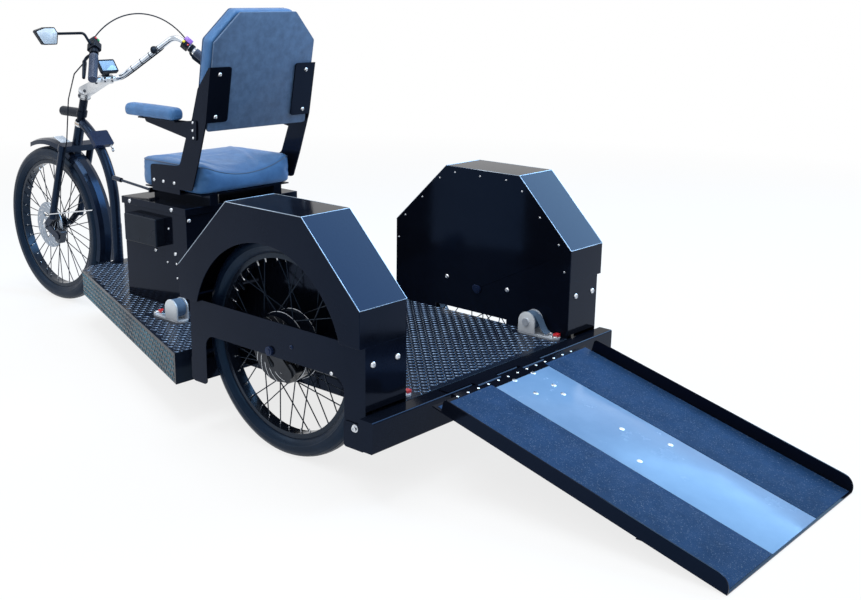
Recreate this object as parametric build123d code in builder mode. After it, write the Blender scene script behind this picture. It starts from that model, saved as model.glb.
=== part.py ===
"""Electric motor trike that carries a wheelchair, with a laced front wheel, two laced rear wheels and a ramp.

Millimetres, +X forward, +Y left, +Z up. The origin lies on the ground at the middle of the whole length.
Lengths along the trike are measured ahead of the rear axle and placed by the planes side, top and across.
"""

import os
from collections import namedtuple
from math import asin, cos, degrees, radians, sin, sqrt

from build123d import *

os.makedirs("parts", exist_ok=True)

# Overall
wheelbase = 2054
track = 994
wheel_radius = 340
deck_height = 239
sheet = 3
tread_plate = 4
running_gap = 0.3
wheel_y = track / 2

# Wheels
tyre_half = 35
tyre_depth = 56
rim_depth = 17
rim_half = 19
spoke_count = 36
spoke_radius = 1.3
rotor_radius = 100
rotor_thickness = 2.4
rotor_track = 30
rotor_arms = 6
window_length = 42
window_width = 20
window_turn = 60
rotor_slots = 18
slot_length = 16
slot_width = 5
slot_turn = 40
rotor_room = 8
front_rotor_room = 13.2
caliper_slot = 12.4
caliper_length = 62
caliper_height = 36
caliper_wall = 8
caliper_lap = 10
caliper_clear = 3
caliper_round = 8
bracket_plate = 5
bracket_wall = 6
front_axle_radius = 6
rear_axle_radius = 8
front_hub_gap = 3
axle_collar = 13
axle_spacer = 51
axle_nut = 10
axle_tip = 2
collar_radius = 14
collar_gap = 0.5
rim_outer = wheel_radius - tyre_depth
rim_inner = rim_outer - rim_depth

# Wheel-houses, set out from the wheel inside
house_clearance = 59
house_headroom = 85
house_front_room = 53
house_rear_room = 48
house_top_front = 156
house_top_rear = -166
shoulder_rise = 200
arch_lap = 17
guard_step = 22
guard_rise = 93
guard_drop = 15
guard_setback = 19
post_width = 72
leg_width = 82
guard_foot = 160
guard_foot_round = 14
guard_inner_round = 40
inner_plate_gap = 9
plate_slot = 14
inner_gap_front = 196
inner_gap_rear = -130
house_inner = wheel_y - tyre_half - house_clearance
house_outer = wheel_y + tyre_half + house_clearance
house_top = 2 * wheel_radius + house_headroom
house_front = wheel_radius + house_front_room
house_rear = -(wheel_radius + house_rear_room)
house_shoulder = wheel_radius + shoulder_rise
arch_radius = wheel_radius - arch_lap
guard_outer = house_outer - guard_step
guard_top = wheel_radius + guard_rise
guard_bottom = wheel_radius - guard_drop
post_front = house_front - guard_setback
post_rear = post_front - post_width
leg_front = house_rear + leg_width

# Frame
beam_width = 54
beam_depth = 92
beam_reach = 6
beam_round = 5
lug_foot = 130
lug_top = 208
lug_round = 10
member_width = 50
member_height = 70
rail_width = 40
rail_height = 30
rail_y = 120
side_rail_height = 50
beam_front = house_rear
beam_rear = beam_front - beam_width
beam_half = house_outer + beam_reach
member_half = guard_outer - sheet
member_top = deck_height - tread_plate
rail_top = member_top - member_height

# Ramp and its hinge
hinge_reach = 14
hinge_drop = 5
leaf_setback = 14
leaf_edge = 4
ramp_length = 964
ramp_margin = 20
ramp_flange = 40
ramp_flange_start = 45
ramp_end_round = 38
ramp_start_round = 12
ramp_lip = 5
ramp_edge = 4
knuckle_radius = 8
knuckle_length = 110
knuckle_gap = 1
pin_radius = 4
ramp_foot_width = 45
ramp_foot_y = 278
ramp_foot_start = 672
ramp_foot_length = 100
foot_depth_high = 62
foot_depth_low = 36
hinge_x = beam_rear - hinge_reach
hinge_z = deck_height - hinge_drop
leaf_front = beam_front - leaf_setback
ramp_half_width = house_inner - ramp_margin
ramp_top = knuckle_radius
ramp_slope = degrees(asin((hinge_z + ramp_top - ramp_lip) / ramp_length))
ramp_tip_x = (
    hinge_x
    - (ramp_length - ramp_end_round) * cos(radians(ramp_slope))
    - (ramp_top + ramp_flange - ramp_end_round) * sin(radians(ramp_slope))
    - ramp_end_round
)
rear_axle_x = -(wheelbase + wheel_radius + ramp_tip_x) / 2

# Front platform, tapered to a nose round the down tube
platform_setback = 40
platform_half = 592
nose_reach = 29
nose_half = 107
nose_corner_back = 16
nose_corner_half = 183
skirt_depth = 105
platform_rear = house_front + platform_setback

# Seat box and what is fixed to it
box_rear = 790
box_length = 370
box_half = 258
box_top = 611
lid_overhang = 6
lid_depth = 26
battery_length = 300
battery_width = 420
battery_height = 230
controller_setback = 146
controller_drop = 102
controller_length = 193
controller_height = 102
controller_depth = 38
controller_round = 5
box_front = box_rear + box_length
controller_x = box_front - controller_setback
controller_z = box_top - controller_drop

# Seat
base_rise = 44
base_setback = 25
base_length = 330
base_half = 205
pan_plate = 5
runner_y = 150
runner_width = 36
flange_setback = 60
flange_length = 160
flange_height = 85
cushion_setback = 38
cushion_length = 360
cushion_side_gap = 7
cushion_height = 112
dish_depth = 32
dish_half = 160
dish_length = 310
cushion_corner = 45
cushion_round = 28
back_rise = 225
back_setback = 95
back_height = 415
back_shoulder = 312
back_lean = 10.9
back_half = 231
back_top_half = 128
back_thickness = 78
back_corner = 14
back_round = 20
arm_plate = 5
arm_gap = 3
arm_flange_inner = 146
arm_flange_bottom = 38
arm_flange_height = 190
arm_flange_round = 10
support_plate = 5
support_shorter = 79
pad_setback = 109
pad_length = 290
pad_rise = 262
pad_height = 45
pad_width = 58
pad_offset = 19
pad_round = 14
pad_edge = 12
lever_rod_radius = 5
lever_rod_y = 180
lever_rod_reach = 240
lever_rod_rise = 18
lever_grip_radius = 9
lever_grip_length = 50
lever_bracket = 8
lever_bracket_width = 56
lever_bracket_height = 18
lever_bracket_inset = 20
base_top = box_top + base_rise
base_rear = box_rear - base_setback
base_middle = base_rear + base_length / 2
flange_rear = box_rear + flange_setback
flange_middle = flange_rear + flange_length / 2
back_rear = box_rear - back_setback
back_bottom = base_top + back_rise
arm_inner = back_half + arm_gap
arm_outer = arm_inner + arm_plate
cushion_rear = box_rear - cushion_setback
cushion_front = cushion_rear + cushion_length
cushion_half = arm_inner - pan_plate - cushion_side_gap
cushion_bottom = base_top + running_gap
cushion_top = cushion_bottom + cushion_height
dish_radius = (dish_half**2 + dish_depth**2) / (2 * dish_depth)
pad_rear = back_rear + pad_setback
pad_front = pad_rear + pad_length
pad_bottom = base_top + pad_rise
pad_y = arm_outer + pad_offset

# Wheelchair tie-downs
anchor_length = 166
anchor_width = 50
anchor_height = 6
rear_anchor_ahead = 97
rear_anchor_inset = 28
front_anchor_back = 20
front_anchor_out = 98
reel_shift = 36
reel_half = 24
reel_cheek = 4
reel_radius = 34
reel_rise = 38
knob_radius = 13
knob_length = 8

# Steering
rake = 21
fork_offset = 46
leg_y = 68
leg_radius = 15
leg_foot = 62
crown_rise = 76
crown_height = 28
crown_edge = 4
dropout_plate = 6
dropout_inset = 10
steerer_radius = 12.7
steerer_short = 4
head_radius = 21
head_length = 106
riser_radius = 17
riser_length = 104
clamp_gap = 0.1
down_tube_radius = 21
down_tube_bend = 360
down_tube_sweep = 63
down_tube_drop = 4
down_tube_bite = 2
key_place = 43
key_length = 72
key_width = 88
key_depth = 20
key_round = 6
key_saddle = 26
lamp_place = 34
lamp_radius = 20
lamp_reach = 140
lamp_clamp = 24
lamp_clamp_wall = 5
stem_reach = 124.5
stem_rise = 140
stem_half = 18
stem_cap = 28
stem_end_radius = 22
stem_step = 3
clamp_radius = 19
clamp_half = 26
bar_radius = 11.1
bar_straight = 64
bar_bend = 45
# Corners of the bar's left half, from the middle of its clamp
bar_rise = (-225, 185, 177)
bar_end = (-358, 292, 37)
grip_radius = 16
grip_length = 122
grip_cap = 3
perch_place = 132
perch_radius = 17
perch_length = 16
perch_bite = 4
lever_radius = 5
lever_reach = 46
lever_length = 105
pod_place = 152
pod_length = 30
pod_width = 44
pod_height = 38
pod_round = 8
display_back = 20
display_rise = 55
display_tilt = 36
display_width = 78
display_height = 58
display_depth = 14
display_round = 6
bracket_half = 10
cable_radius = 2.5
cable_lift = 2
cable_peak = (-242, 0, 263)
hose_radius = 2.5
hose_bend = 40
hose_crown_rise = 30
hose_leg_rise = 50
hose_bite = 4
hose_inset = 4
# Free points of the brake hose, from the middle of the bar's clamp
hose_loop = (-150, 236, 41)
hose_turn = (180, 66, -90)
mirror_back = 163
mirror_rise = 183
mirror_inner = 300
mirror_depth = 18
mirror_round = 6
mirror_stem_radius = 5
mirror_stem_bend = 18
mudguard_gap = 35
mudguard_lip_gap = 12
mudguard_half = 39
mudguard_skin = 2.5
mudguard_front = 70
mudguard_arc = 128
stay_radius = 2.5
stay_lift = 22
stay_inset = 6
stay_place = 36
crown_top = wheel_radius + crown_rise
mudguard_inner = wheel_radius + mudguard_gap
mudguard_lip = wheel_radius + mudguard_lip_gap


def side(y=0):
    """Plane along the trike at y: local x runs forward, local y up, and its normal points to the right."""
    return Plane(origin=(rear_axle_x, y, 0), x_dir=(1, 0, 0), z_dir=(0, -1, 0))


def top(z=0):
    """Level plane at height z: local x runs forward, local y to the left."""
    return Plane(origin=(rear_axle_x, 0, z), x_dir=(1, 0, 0), z_dir=(0, 0, 1))


def across(x=0):
    """Upright plane across the trike at x ahead of the rear axle: local x runs left, local y up."""
    return Plane(origin=(rear_axle_x + x, 0, 0), x_dir=(0, 1, 0), z_dir=(1, 0, 0))


def at(x, y, z):
    """Point given ahead of the rear axle, in the part's own frame."""
    return Vector(rear_axle_x + x, y, z)


def bent_path(points, bend):
    """Straight runs through the points with a tangent arc of the bend radius at each inner point."""
    points = [Vector(*p) for p in points]
    start = points[0]
    for before, corner, after in zip(points, points[1:], points[2:]):
        back = (before - corner).normalized()
        ahead = (after - corner).normalized()
        half = radians(back.get_angle(ahead)) / 2
        reach = bend * cos(half) / sin(half)
        middle = corner + (back + ahead).normalized() * (bend / sin(half) - bend)
        Line(start, corner + back * reach)
        ThreePointArc(corner + back * reach, middle, corner + ahead * reach)
        start = corner + ahead * reach
    Line(start, points[-1])


def start_plane(points):
    """Plane across the first run of a path."""
    first, second = Vector(*points[0]), Vector(*points[1])
    return Plane(origin=first, z_dir=second - first)


# Steering axis: the plane's z runs up the head tube and its x forward, from a point level with the front axle
rake_sin, rake_cos = sin(radians(rake)), cos(radians(rake))
steer = Plane(
    origin=at(wheelbase - fork_offset * rake_cos, 0, wheel_radius - fork_offset * rake_sin),
    x_dir=(rake_cos, 0, rake_sin),
    z_dir=(-rake_sin, 0, rake_cos),
)
head_bottom = crown_top + running_gap
head_top = head_bottom + head_length
riser_bottom = head_top + running_gap
riser_top = riser_bottom + riser_length
lamp_height = riser_bottom + lamp_place

# The down tube's bend ends in the back of the head tube, and the platform's nose lies round its foot
down_tube_join = steer.from_local_coords(Vector(down_tube_bite - head_radius, 0, head_top - down_tube_drop))
down_tube_x = down_tube_join.X - rear_axle_x - down_tube_bend * (1 - cos(radians(down_tube_sweep)))
down_tube_bend_z = down_tube_join.Z - down_tube_bend * sin(radians(down_tube_sweep))
platform_nose = down_tube_x + nose_reach
nose_corner_x = down_tube_x - nose_corner_back

# Middle of the handlebar's clamp
clamp = steer.from_local_coords(Vector(-stem_reach, 0, riser_top + stem_rise))
clamp_x = clamp.X - rear_axle_x
clamp_z = clamp.Z
display_x = clamp_x - display_back
display_z = clamp_z + display_rise
mirror_x = clamp_x - mirror_back
mirror_z = clamp_z + mirror_rise

# Frame rails, and cross members with the deck's side rails between them

rail_rear = beam_front
rail_front = nose_corner_x
with BuildPart() as frame_rails:
    with BuildSketch(top(rail_top)):
        with Locations(((rail_rear + rail_front) / 2, rail_y), ((rail_rear + rail_front) / 2, -rail_y)):
            Rectangle(rail_front - rail_rear, rail_width)
    extrude(amount=-rail_height)
frame_rails.part.label = "frame_rails"
export_step(frame_rails.part, "parts/frame_rails.step")

# Cross members: place ahead of the rear axle, half length
Member = namedtuple("Member", "x half")
members = [
    Member(beam_front + member_width / 2, member_half - running_gap),
    Member(post_front - member_width / 3, member_half - running_gap),
    Member(box_rear + member_width, box_half + 2 * member_width),
    Member(box_front - member_width, box_half),
    Member(down_tube_x, nose_half - 2 * tread_plate),
]
with BuildPart() as cross_members:
    with BuildSketch(top(member_top)):
        for member in members:
            with Locations((member.x, 0)):
                Rectangle(member_width, 2 * member.half)
    extrude(amount=-member_height)
    side_rear = members[0].x + member_width / 2 + running_gap
    side_front = members[1].x - member_width / 2 - running_gap
    side_y = house_inner - rail_width / 2
    with BuildSketch(top(member_top)):
        with Locations(((side_rear + side_front) / 2, side_y), ((side_rear + side_front) / 2, -side_y)):
            Rectangle(side_front - side_rear, rail_width)
    extrude(amount=-side_rail_height)
cross_members.part.label = "cross_members"
export_step(cross_members.part, "parts/cross_members.step")

# Rear crossbeam, with a lug before each end that is bolted to the guard's leg
with BuildPart() as rear_crossbeam:
    with BuildSketch(top(deck_height)):
        with Locations(((beam_front + beam_rear) / 2, 0)):
            Rectangle(beam_front - beam_rear, 2 * beam_half)
    extrude(amount=-beam_depth)
    fillet(rear_crossbeam.edges().filter_by(Axis.Y), radius=beam_round)
    with BuildSketch(side(guard_outer + running_gap)):
        with Locations(((beam_front + running_gap + leg_front) / 2, (lug_foot + lug_top) / 2)):
            RectangleRounded(leg_front - beam_front - running_gap, lug_top - lug_foot, lug_round)
    extrude(amount=-sheet)
    mirror(rear_crossbeam.part.solids().sort_by(SortBy.VOLUME)[0], about=Plane.XZ)
rear_crossbeam.part.label = "rear_crossbeam"
export_step(rear_crossbeam.part, "parts/rear_crossbeam.step")

# Decks

with BuildPart() as front_platform:
    with BuildSketch(top(deck_height)):
        with BuildLine():
            Polyline(
                (platform_rear, -platform_half),
                (nose_corner_x, -nose_corner_half),
                (platform_nose, -nose_half),
                (platform_nose, nose_half),
                (nose_corner_x, nose_corner_half),
                (platform_rear, platform_half),
                close=True,
            )
        make_face()
    extrude(amount=-skirt_depth)
    underside = front_platform.faces().sort_by(Axis.Z)[0]
    offset(amount=-tread_plate, openings=underside, kind=Kind.INTERSECTION)
    with BuildSketch(top(deck_height)):
        with Locations((down_tube_x, 0)):
            Circle(down_tube_radius + running_gap)
    extrude(amount=-tread_plate, mode=Mode.SUBTRACT)
    with BuildSketch(top(rail_top + running_gap)):
        with Locations((platform_rear, rail_y), (platform_rear, -rail_y)):
            Rectangle(3 * tread_plate, rail_width + 2 * running_gap)
    extrude(amount=-skirt_depth, mode=Mode.SUBTRACT)
front_platform.part.label = "front_platform"
export_step(front_platform.part, "parts/front_platform.step")

with BuildPart() as rear_deck:
    with BuildSketch(top(deck_height)):
        with Locations(((house_rear + platform_rear) / 2, 0)):
            Rectangle(platform_rear - house_rear, 2 * house_inner)
    extrude(amount=-tread_plate)
rear_deck.part.label = "rear_deck"
export_step(rear_deck.part, "parts/rear_deck.step")

# Wheel-houses: eight-sided inner plate, cover folded over the top, and a guard with bar, post and leg

house_outline = [
    (house_front, guard_top),
    (house_front, house_shoulder),
    (house_top_front, house_top),
    (house_top_rear, house_top),
    (house_rear, house_shoulder),
    (house_rear, guard_top),
]
inner_face = house_inner + sheet

with BuildPart() as wheelhouse_inner_plates:
    with BuildSketch(side(house_inner)):
        with BuildLine():
            Polyline(
                *house_outline,
                (house_rear, member_top),
                (inner_gap_rear, member_top),
                (inner_gap_rear, deck_height + plate_slot),
                (inner_gap_front, deck_height + plate_slot),
                (inner_gap_front, member_top),
                (house_front, member_top),
                close=True,
            )
        make_face()
        with Locations((0, wheel_radius)):
            Circle(rear_axle_radius + running_gap, mode=Mode.SUBTRACT)
    extrude(amount=-sheet)
    mirror(about=Plane.XZ)
wheelhouse_inner_plates.part.label = "wheelhouse_inner_plates"
export_step(wheelhouse_inner_plates.part, "parts/wheelhouse_inner_plates.step")

with BuildPart() as wheelhouse_covers:
    with BuildSketch(side(inner_face)):
        with BuildLine():
            Polyline(*house_outline, close=True)
        make_face()
    extrude(amount=inner_face - house_outer)
    open_faces = wheelhouse_covers.faces().sort_by(Axis.Y)[:1]
    offset(amount=-sheet, openings=open_faces, kind=Kind.INTERSECTION)
    with BuildSketch(top(guard_top)):
        with Locations(((house_front + house_rear) / 2, (inner_face + guard_outer - sheet) / 2)):
            Rectangle(house_front - house_rear - 2 * sheet, guard_outer - sheet - inner_face)
    extrude(amount=sheet, mode=Mode.SUBTRACT)
    with BuildSketch(side(guard_outer - sheet)):
        with Locations((0, wheel_radius)):
            Circle(arch_radius)
    extrude(amount=guard_outer - sheet - house_outer, mode=Mode.SUBTRACT)
    mirror(about=Plane.XZ)
wheelhouse_covers.part.label = "wheelhouse_covers"
export_step(wheelhouse_covers.part, "parts/wheelhouse_covers.step")

with BuildPart() as wheelhouse_guards:
    with BuildSketch(side(guard_outer - sheet)) as guard_outline:
        with BuildLine():
            Polyline(
                (house_rear, guard_top),
                (house_rear, guard_foot),
                (leg_front, guard_foot),
                (leg_front, guard_bottom),
                (post_rear, guard_bottom),
                (post_rear, guard_foot),
                (post_front, guard_foot),
                (post_front, guard_top),
                close=True,
            )
        make_face()
        bar_low, bar_high = guard_bottom - running_gap, guard_bottom + running_gap
        inner_corners = guard_outline.vertices().filter_by_position(Axis.Y, bar_low, bar_high)
        fillet(inner_corners, radius=guard_inner_round)
        foot_corners = guard_outline.vertices().filter_by_position(Axis.Y, 0, deck_height)
        fillet(foot_corners, radius=guard_foot_round)
        with Locations((0, wheel_radius)):
            Circle(rear_axle_radius + running_gap, mode=Mode.SUBTRACT)
    extrude(amount=-sheet)
    for wall_x in (house_rear, post_front - sheet):
        with BuildSketch(across(wall_x)):
            with Locations(((inner_face + guard_outer) / 2, (guard_top + deck_height + inner_plate_gap) / 2)):
                Rectangle(guard_outer - inner_face, guard_top - deck_height - inner_plate_gap)
        extrude(amount=sheet)
    mirror(about=Plane.XZ)
wheelhouse_guards.part.label = "wheelhouse_guards"
export_step(wheelhouse_guards.part, "parts/wheelhouse_guards.step")

# Head tube with the curved down tube


def on_bend(turn, radius=down_tube_bend):
    """Point beside the down tube's bend, turn degrees past its start and radius from its centre."""
    return at(
        down_tube_x + down_tube_bend - radius * cos(radians(turn)),
        0,
        down_tube_bend_z + radius * sin(radians(turn)),
    )


with BuildPart() as head_frame:
    with BuildLine() as down_tube_path:
        Line(at(down_tube_x, 0, member_top), at(down_tube_x, 0, down_tube_bend_z))
        ThreePointArc(on_bend(0), on_bend(down_tube_sweep / 2), on_bend(down_tube_sweep))
    with BuildSketch(top(member_top)):
        with Locations((down_tube_x, 0)):
            Circle(down_tube_radius)
    sweep(path=down_tube_path.line)
    with BuildSketch(steer.offset(head_bottom)):
        Circle(head_radius)
    extrude(amount=head_length)
    with BuildSketch(steer.offset(head_bottom)):
        Circle(steerer_radius + running_gap)
    extrude(amount=head_length, mode=Mode.SUBTRACT)
head_frame.part.label = "head_frame"
export_step(head_frame.part, "parts/head_frame.step")

# Key box, seated on the bend of the down tube

key_turn = radians(key_place)
key_base = Plane(
    origin=on_bend(key_place, down_tube_bend + down_tube_radius + running_gap),
    x_dir=(sin(key_turn), 0, cos(key_turn)),
    z_dir=(-cos(key_turn), 0, sin(key_turn)),
)
with BuildPart() as key_box:
    with BuildSketch(key_base):
        RectangleRounded(key_length, key_width, key_round)
    extrude(amount=key_depth)
    with BuildSketch(key_base):
        Rectangle(key_saddle, key_saddle)
    extrude(amount=-down_tube_radius / 3)
    add(head_frame.part, mode=Mode.SUBTRACT)
key_box.part.label = "key_box"
export_step(key_box.part, "parts/key_box.step")

# Seat box with its lid, battery and controller

box_middle = (box_front + box_rear) / 2
with BuildPart() as seat_box:
    with BuildSketch(top(deck_height)):
        with Locations((box_middle, 0)):
            Rectangle(box_length, 2 * box_half)
    extrude(amount=box_top - sheet - deck_height)
    box_floor = seat_box.faces().sort_by(Axis.Z)[0]
    offset(amount=-sheet, openings=box_floor, kind=Kind.INTERSECTION)
seat_box.part.label = "seat_box"
export_step(seat_box.part, "parts/seat_box.step")

with BuildPart() as seat_box_lid:
    with BuildSketch(top(box_top)):
        with Locations((box_middle, 0)):
            Rectangle(box_length + 2 * lid_overhang, 2 * (box_half + lid_overhang))
    extrude(amount=-lid_depth)
    lid_mouth = seat_box_lid.faces().sort_by(Axis.Z)[0]
    offset(amount=-sheet, openings=lid_mouth, kind=Kind.INTERSECTION)
seat_box_lid.part.label = "seat_box_lid"
export_step(seat_box_lid.part, "parts/seat_box_lid.step")

with BuildPart() as battery_pack:
    with BuildSketch(top(deck_height)):
        with Locations((box_middle, 0)):
            Rectangle(battery_length, battery_width)
    extrude(amount=battery_height)
battery_pack.part.label = "battery_pack"
export_step(battery_pack.part, "parts/battery_pack.step")

with BuildPart() as controller_box:
    with BuildSketch(side(box_half)):
        with Locations((controller_x, controller_z)):
            RectangleRounded(controller_length, controller_height, controller_round + 1)
    extrude(amount=-controller_depth)
    fillet(controller_box.faces().sort_by(Axis.Y)[-1].edges(), radius=controller_round)
controller_box.part.label = "controller_box"
export_step(controller_box.part, "parts/controller_box.step")

# Seat: pan on two runners, cushion, back, folded side arms and armrests

with BuildPart() as seat_base:
    with BuildSketch(top(box_top)):
        with Locations((base_middle, runner_y), (base_middle, -runner_y)):
            Rectangle(base_length, runner_width)
    extrude(amount=base_top - box_top - pan_plate)
    with BuildSketch(top(base_top - pan_plate)):
        with Locations((base_middle, 0)):
            Rectangle(base_length, 2 * base_half)
        with Locations((flange_middle, 0)):
            Rectangle(flange_length, 2 * arm_inner)
    extrude(amount=pan_plate)
    flange_y = arm_inner - pan_plate / 2
    with BuildSketch(top(base_top)):
        with Locations((flange_middle, flange_y), (flange_middle, -flange_y)):
            Rectangle(flange_length, pan_plate)
    extrude(amount=flange_height)
seat_base.part.label = "seat_base"
export_step(seat_base.part, "parts/seat_base.step")

with BuildPart() as seat_cushion:
    with BuildSketch(top(cushion_bottom)):
        with Locations(((cushion_front + cushion_rear) / 2, 0)):
            RectangleRounded(cushion_front - cushion_rear, 2 * cushion_half, cushion_corner)
    extrude(amount=cushion_height)
    fillet(seat_cushion.faces().sort_by(Axis.Z)[-1].edges(), radius=cushion_round)
    dish_start = at(cushion_rear, 0, cushion_top - dish_depth + dish_radius)
    with BuildSketch(Plane(origin=dish_start, x_dir=(0, 1, 0), z_dir=(dish_length, 0, dish_depth))):
        Circle(dish_radius)
    extrude(amount=2 * cushion_length, both=True, mode=Mode.SUBTRACT)
seat_cushion.part.label = "seat_cushion"
export_step(seat_cushion.part, "parts/seat_cushion.step")

back_plane = Plane(
    origin=at(back_rear, 0, back_bottom),
    x_dir=(0, 1, 0),
    z_dir=(cos(radians(back_lean)), 0, sin(radians(back_lean))),
)
with BuildPart() as seat_back:
    with BuildSketch(back_plane) as back_outline:
        with BuildLine():
            Polyline(
                (-back_half, 0),
                (back_half, 0),
                (back_half, back_shoulder),
                (back_top_half, back_height),
                (-back_top_half, back_height),
                (-back_half, back_shoulder),
                close=True,
            )
        make_face()
        fillet(back_outline.vertices(), radius=back_corner)
    extrude(amount=back_thickness)
    back_front = seat_back.faces().sort_by(Axis(back_plane.origin, back_plane.z_dir))[-1]
    fillet(back_front.edges(), radius=back_round)
seat_back.part.label = "seat_back"
export_step(seat_back.part, "parts/seat_back.step")

arm_rear = back_rear - arm_plate / cos(radians(back_lean))
lean = sin(radians(back_lean)) / cos(radians(back_lean))
arm_flange_low = back_bottom + arm_flange_bottom * cos(radians(back_lean))
arm_flange_high = arm_flange_low + arm_flange_height * cos(radians(back_lean))
# Corners of an arm and of an armrest's support, seen from the side: place ahead of the axle, height, radius
Corner = namedtuple("Corner", "x z round")
arm_corners = [
    Corner(flange_rear - 75, base_top + 17, 16),
    Corner(flange_rear + flange_length, base_top + 12, 10),
    Corner(flange_rear + flange_length, base_top + flange_height + 5, 14),
    Corner(flange_rear - 12, base_top + flange_height + 15, 26),
    Corner(arm_rear + 106, pad_bottom - 60, 8),
    Corner(arm_rear + 68, pad_bottom + 8, 10),
    Corner(arm_rear + 30, arm_flange_high - 74, 20),
    Corner(arm_rear + 8 - lean * (arm_flange_high - back_bottom), arm_flange_high, 0),
    Corner(arm_rear - lean * (arm_flange_high - back_bottom), arm_flange_high, 0),
    Corner(arm_rear - lean * (arm_flange_low - back_bottom), arm_flange_low, 0),
    Corner(arm_rear + 46, base_top + flange_height + 28, 40),
]
with BuildPart() as seat_arms:
    with BuildSketch(side(arm_outer)) as arm_outline:
        with BuildLine():
            Polyline(*[(corner.x, corner.z) for corner in arm_corners], close=True)
        make_face()
        for corner in arm_corners:
            if corner.round:
                nearest = arm_outline.vertices().sort_by_distance((corner.x, corner.z))[0]
                fillet(nearest, radius=corner.round)
    extrude(amount=arm_plate)
    with BuildSketch(back_plane.offset(-arm_plate)):
        with Locations(((arm_flange_inner + arm_outer) / 2, arm_flange_bottom + arm_flange_height / 2)):
            Rectangle(arm_outer - arm_flange_inner, arm_flange_height)
    extrude(amount=arm_plate)
    free_edges = seat_arms.edges().filter_by(Axis(back_plane.origin, back_plane.z_dir)).group_by(Axis.Y)[0]
    fillet(free_edges, radius=arm_flange_round)
    mirror(about=Plane.XZ)
seat_arms.part.label = "seat_arms"
export_step(seat_arms.part, "parts/seat_arms.step")

support_corners = [
    Corner(pad_front - 67, pad_bottom, 0),
    Corner(pad_front - 77, pad_bottom - 21, 12),
    Corner(pad_rear - 16, pad_bottom - 59, 10),
    Corner(arm_rear + 42, pad_bottom - 65, 9),
    Corner(arm_rear + 38, pad_bottom + 6, 9),
    Corner(pad_rear - 20, pad_bottom, 0),
]
with BuildPart() as armrest_supports:
    with BuildSketch(side(arm_outer)) as support_outline:
        with BuildLine():
            Polyline(*[(corner.x, corner.z) for corner in support_corners], close=True)
        make_face()
        for corner in support_corners:
            if corner.round:
                nearest = support_outline.vertices().sort_by_distance((corner.x, corner.z))[0]
                fillet(nearest, radius=corner.round)
    extrude(amount=-support_plate)
    shelf_length = pad_length - support_shorter
    shelf_outer = pad_y + pad_width / 3
    with BuildSketch(top(pad_bottom)):
        with Locations((pad_rear + shelf_length / 2, (arm_outer + shelf_outer) / 2)):
            Rectangle(shelf_length, shelf_outer - arm_outer)
    extrude(amount=-support_plate)
    mirror(about=Plane.XZ)
armrest_supports.part.label = "armrest_supports"
export_step(armrest_supports.part, "parts/armrest_supports.step")

with BuildPart() as armrest_pads:
    with BuildSketch(top(pad_bottom + running_gap)):
        with Locations(((pad_front + pad_rear) / 2, pad_y), ((pad_front + pad_rear) / 2, -pad_y)):
            RectangleRounded(pad_front - pad_rear, pad_width, pad_round)
    extrude(amount=pad_height)
    fillet(armrest_pads.faces().group_by(Axis.Z)[-1].edges(), radius=pad_edge)
armrest_pads.part.label = "armrest_pads"
export_step(armrest_pads.part, "parts/armrest_pads.step")

lever_foot = (base_top + box_top - pan_plate) / 2
lever_start = at(base_rear + base_length, lever_rod_y, lever_foot)
lever_end = at(base_rear + base_length + lever_rod_reach, lever_rod_y, lever_foot + lever_rod_rise)
with BuildPart() as seat_lever:
    with BuildSketch(Plane(origin=lever_start, z_dir=lever_end - lever_start)):
        Circle(lever_rod_radius)
    extrude(amount=(lever_end - lever_start).length)
    with BuildSketch(Plane(origin=lever_end, z_dir=lever_start - lever_end)):
        Circle(lever_grip_radius)
    extrude(amount=lever_grip_length)
    with BuildSketch(across(base_rear + base_length)):
        with Locations((lever_rod_y - lever_bracket_inset, lever_foot)):
            Rectangle(lever_bracket_width, lever_bracket_height)
    extrude(amount=lever_bracket)
seat_lever.part.label = "seat_lever"
export_step(seat_lever.part, "parts/seat_lever.step")

# Wheelchair tie-downs: place ahead of the rear axle, distance from the middle line, shift of the reel
Anchor = namedtuple("Anchor", "x y shift")
anchors = [
    Anchor(beam_front + rear_anchor_ahead, house_inner - rear_anchor_inset, reel_shift),
    Anchor(beam_front + rear_anchor_ahead, rear_anchor_inset - house_inner, reel_shift),
    Anchor(box_rear - front_anchor_back, box_half + front_anchor_out, -reel_shift),
    Anchor(box_rear - front_anchor_back, -box_half - front_anchor_out, -reel_shift),
]
anchor_top = deck_height + anchor_height
with BuildPart() as tie_downs:
    for anchor in anchors:
        reel_x = anchor.x + anchor.shift
        inboard = 1 if anchor.y > 0 else -1
        with BuildSketch(top(deck_height)):
            with Locations((anchor.x, anchor.y)):
                SlotOverall(anchor_length, anchor_width)
        extrude(amount=anchor_height)
        for cheek_y in (anchor.y + reel_half, anchor.y - reel_half + reel_cheek):
            with BuildSketch(side(cheek_y)):
                with Locations((reel_x, anchor_top + reel_rise)):
                    Circle(reel_radius)
                with Locations((reel_x, anchor_top + reel_rise / 2)):
                    Rectangle(2 * reel_radius, reel_rise)
            extrude(amount=reel_cheek)
        with BuildSketch(side(anchor.y + reel_half)):
            with Locations((reel_x, anchor_top + reel_rise)):
                Circle(reel_radius - reel_cheek)
        extrude(amount=2 * reel_half)
        with BuildSketch(side(anchor.y - inboard * reel_half)):
            with Locations((reel_x, anchor_top + reel_rise)):
                Circle(knob_radius)
        extrude(amount=inboard * knob_length)
tie_downs.part.label = "tie_downs"
export_step(tie_downs.part, "parts/tie_downs.step")

# Fork, front axle and riser, drawn in the steering plane

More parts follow.
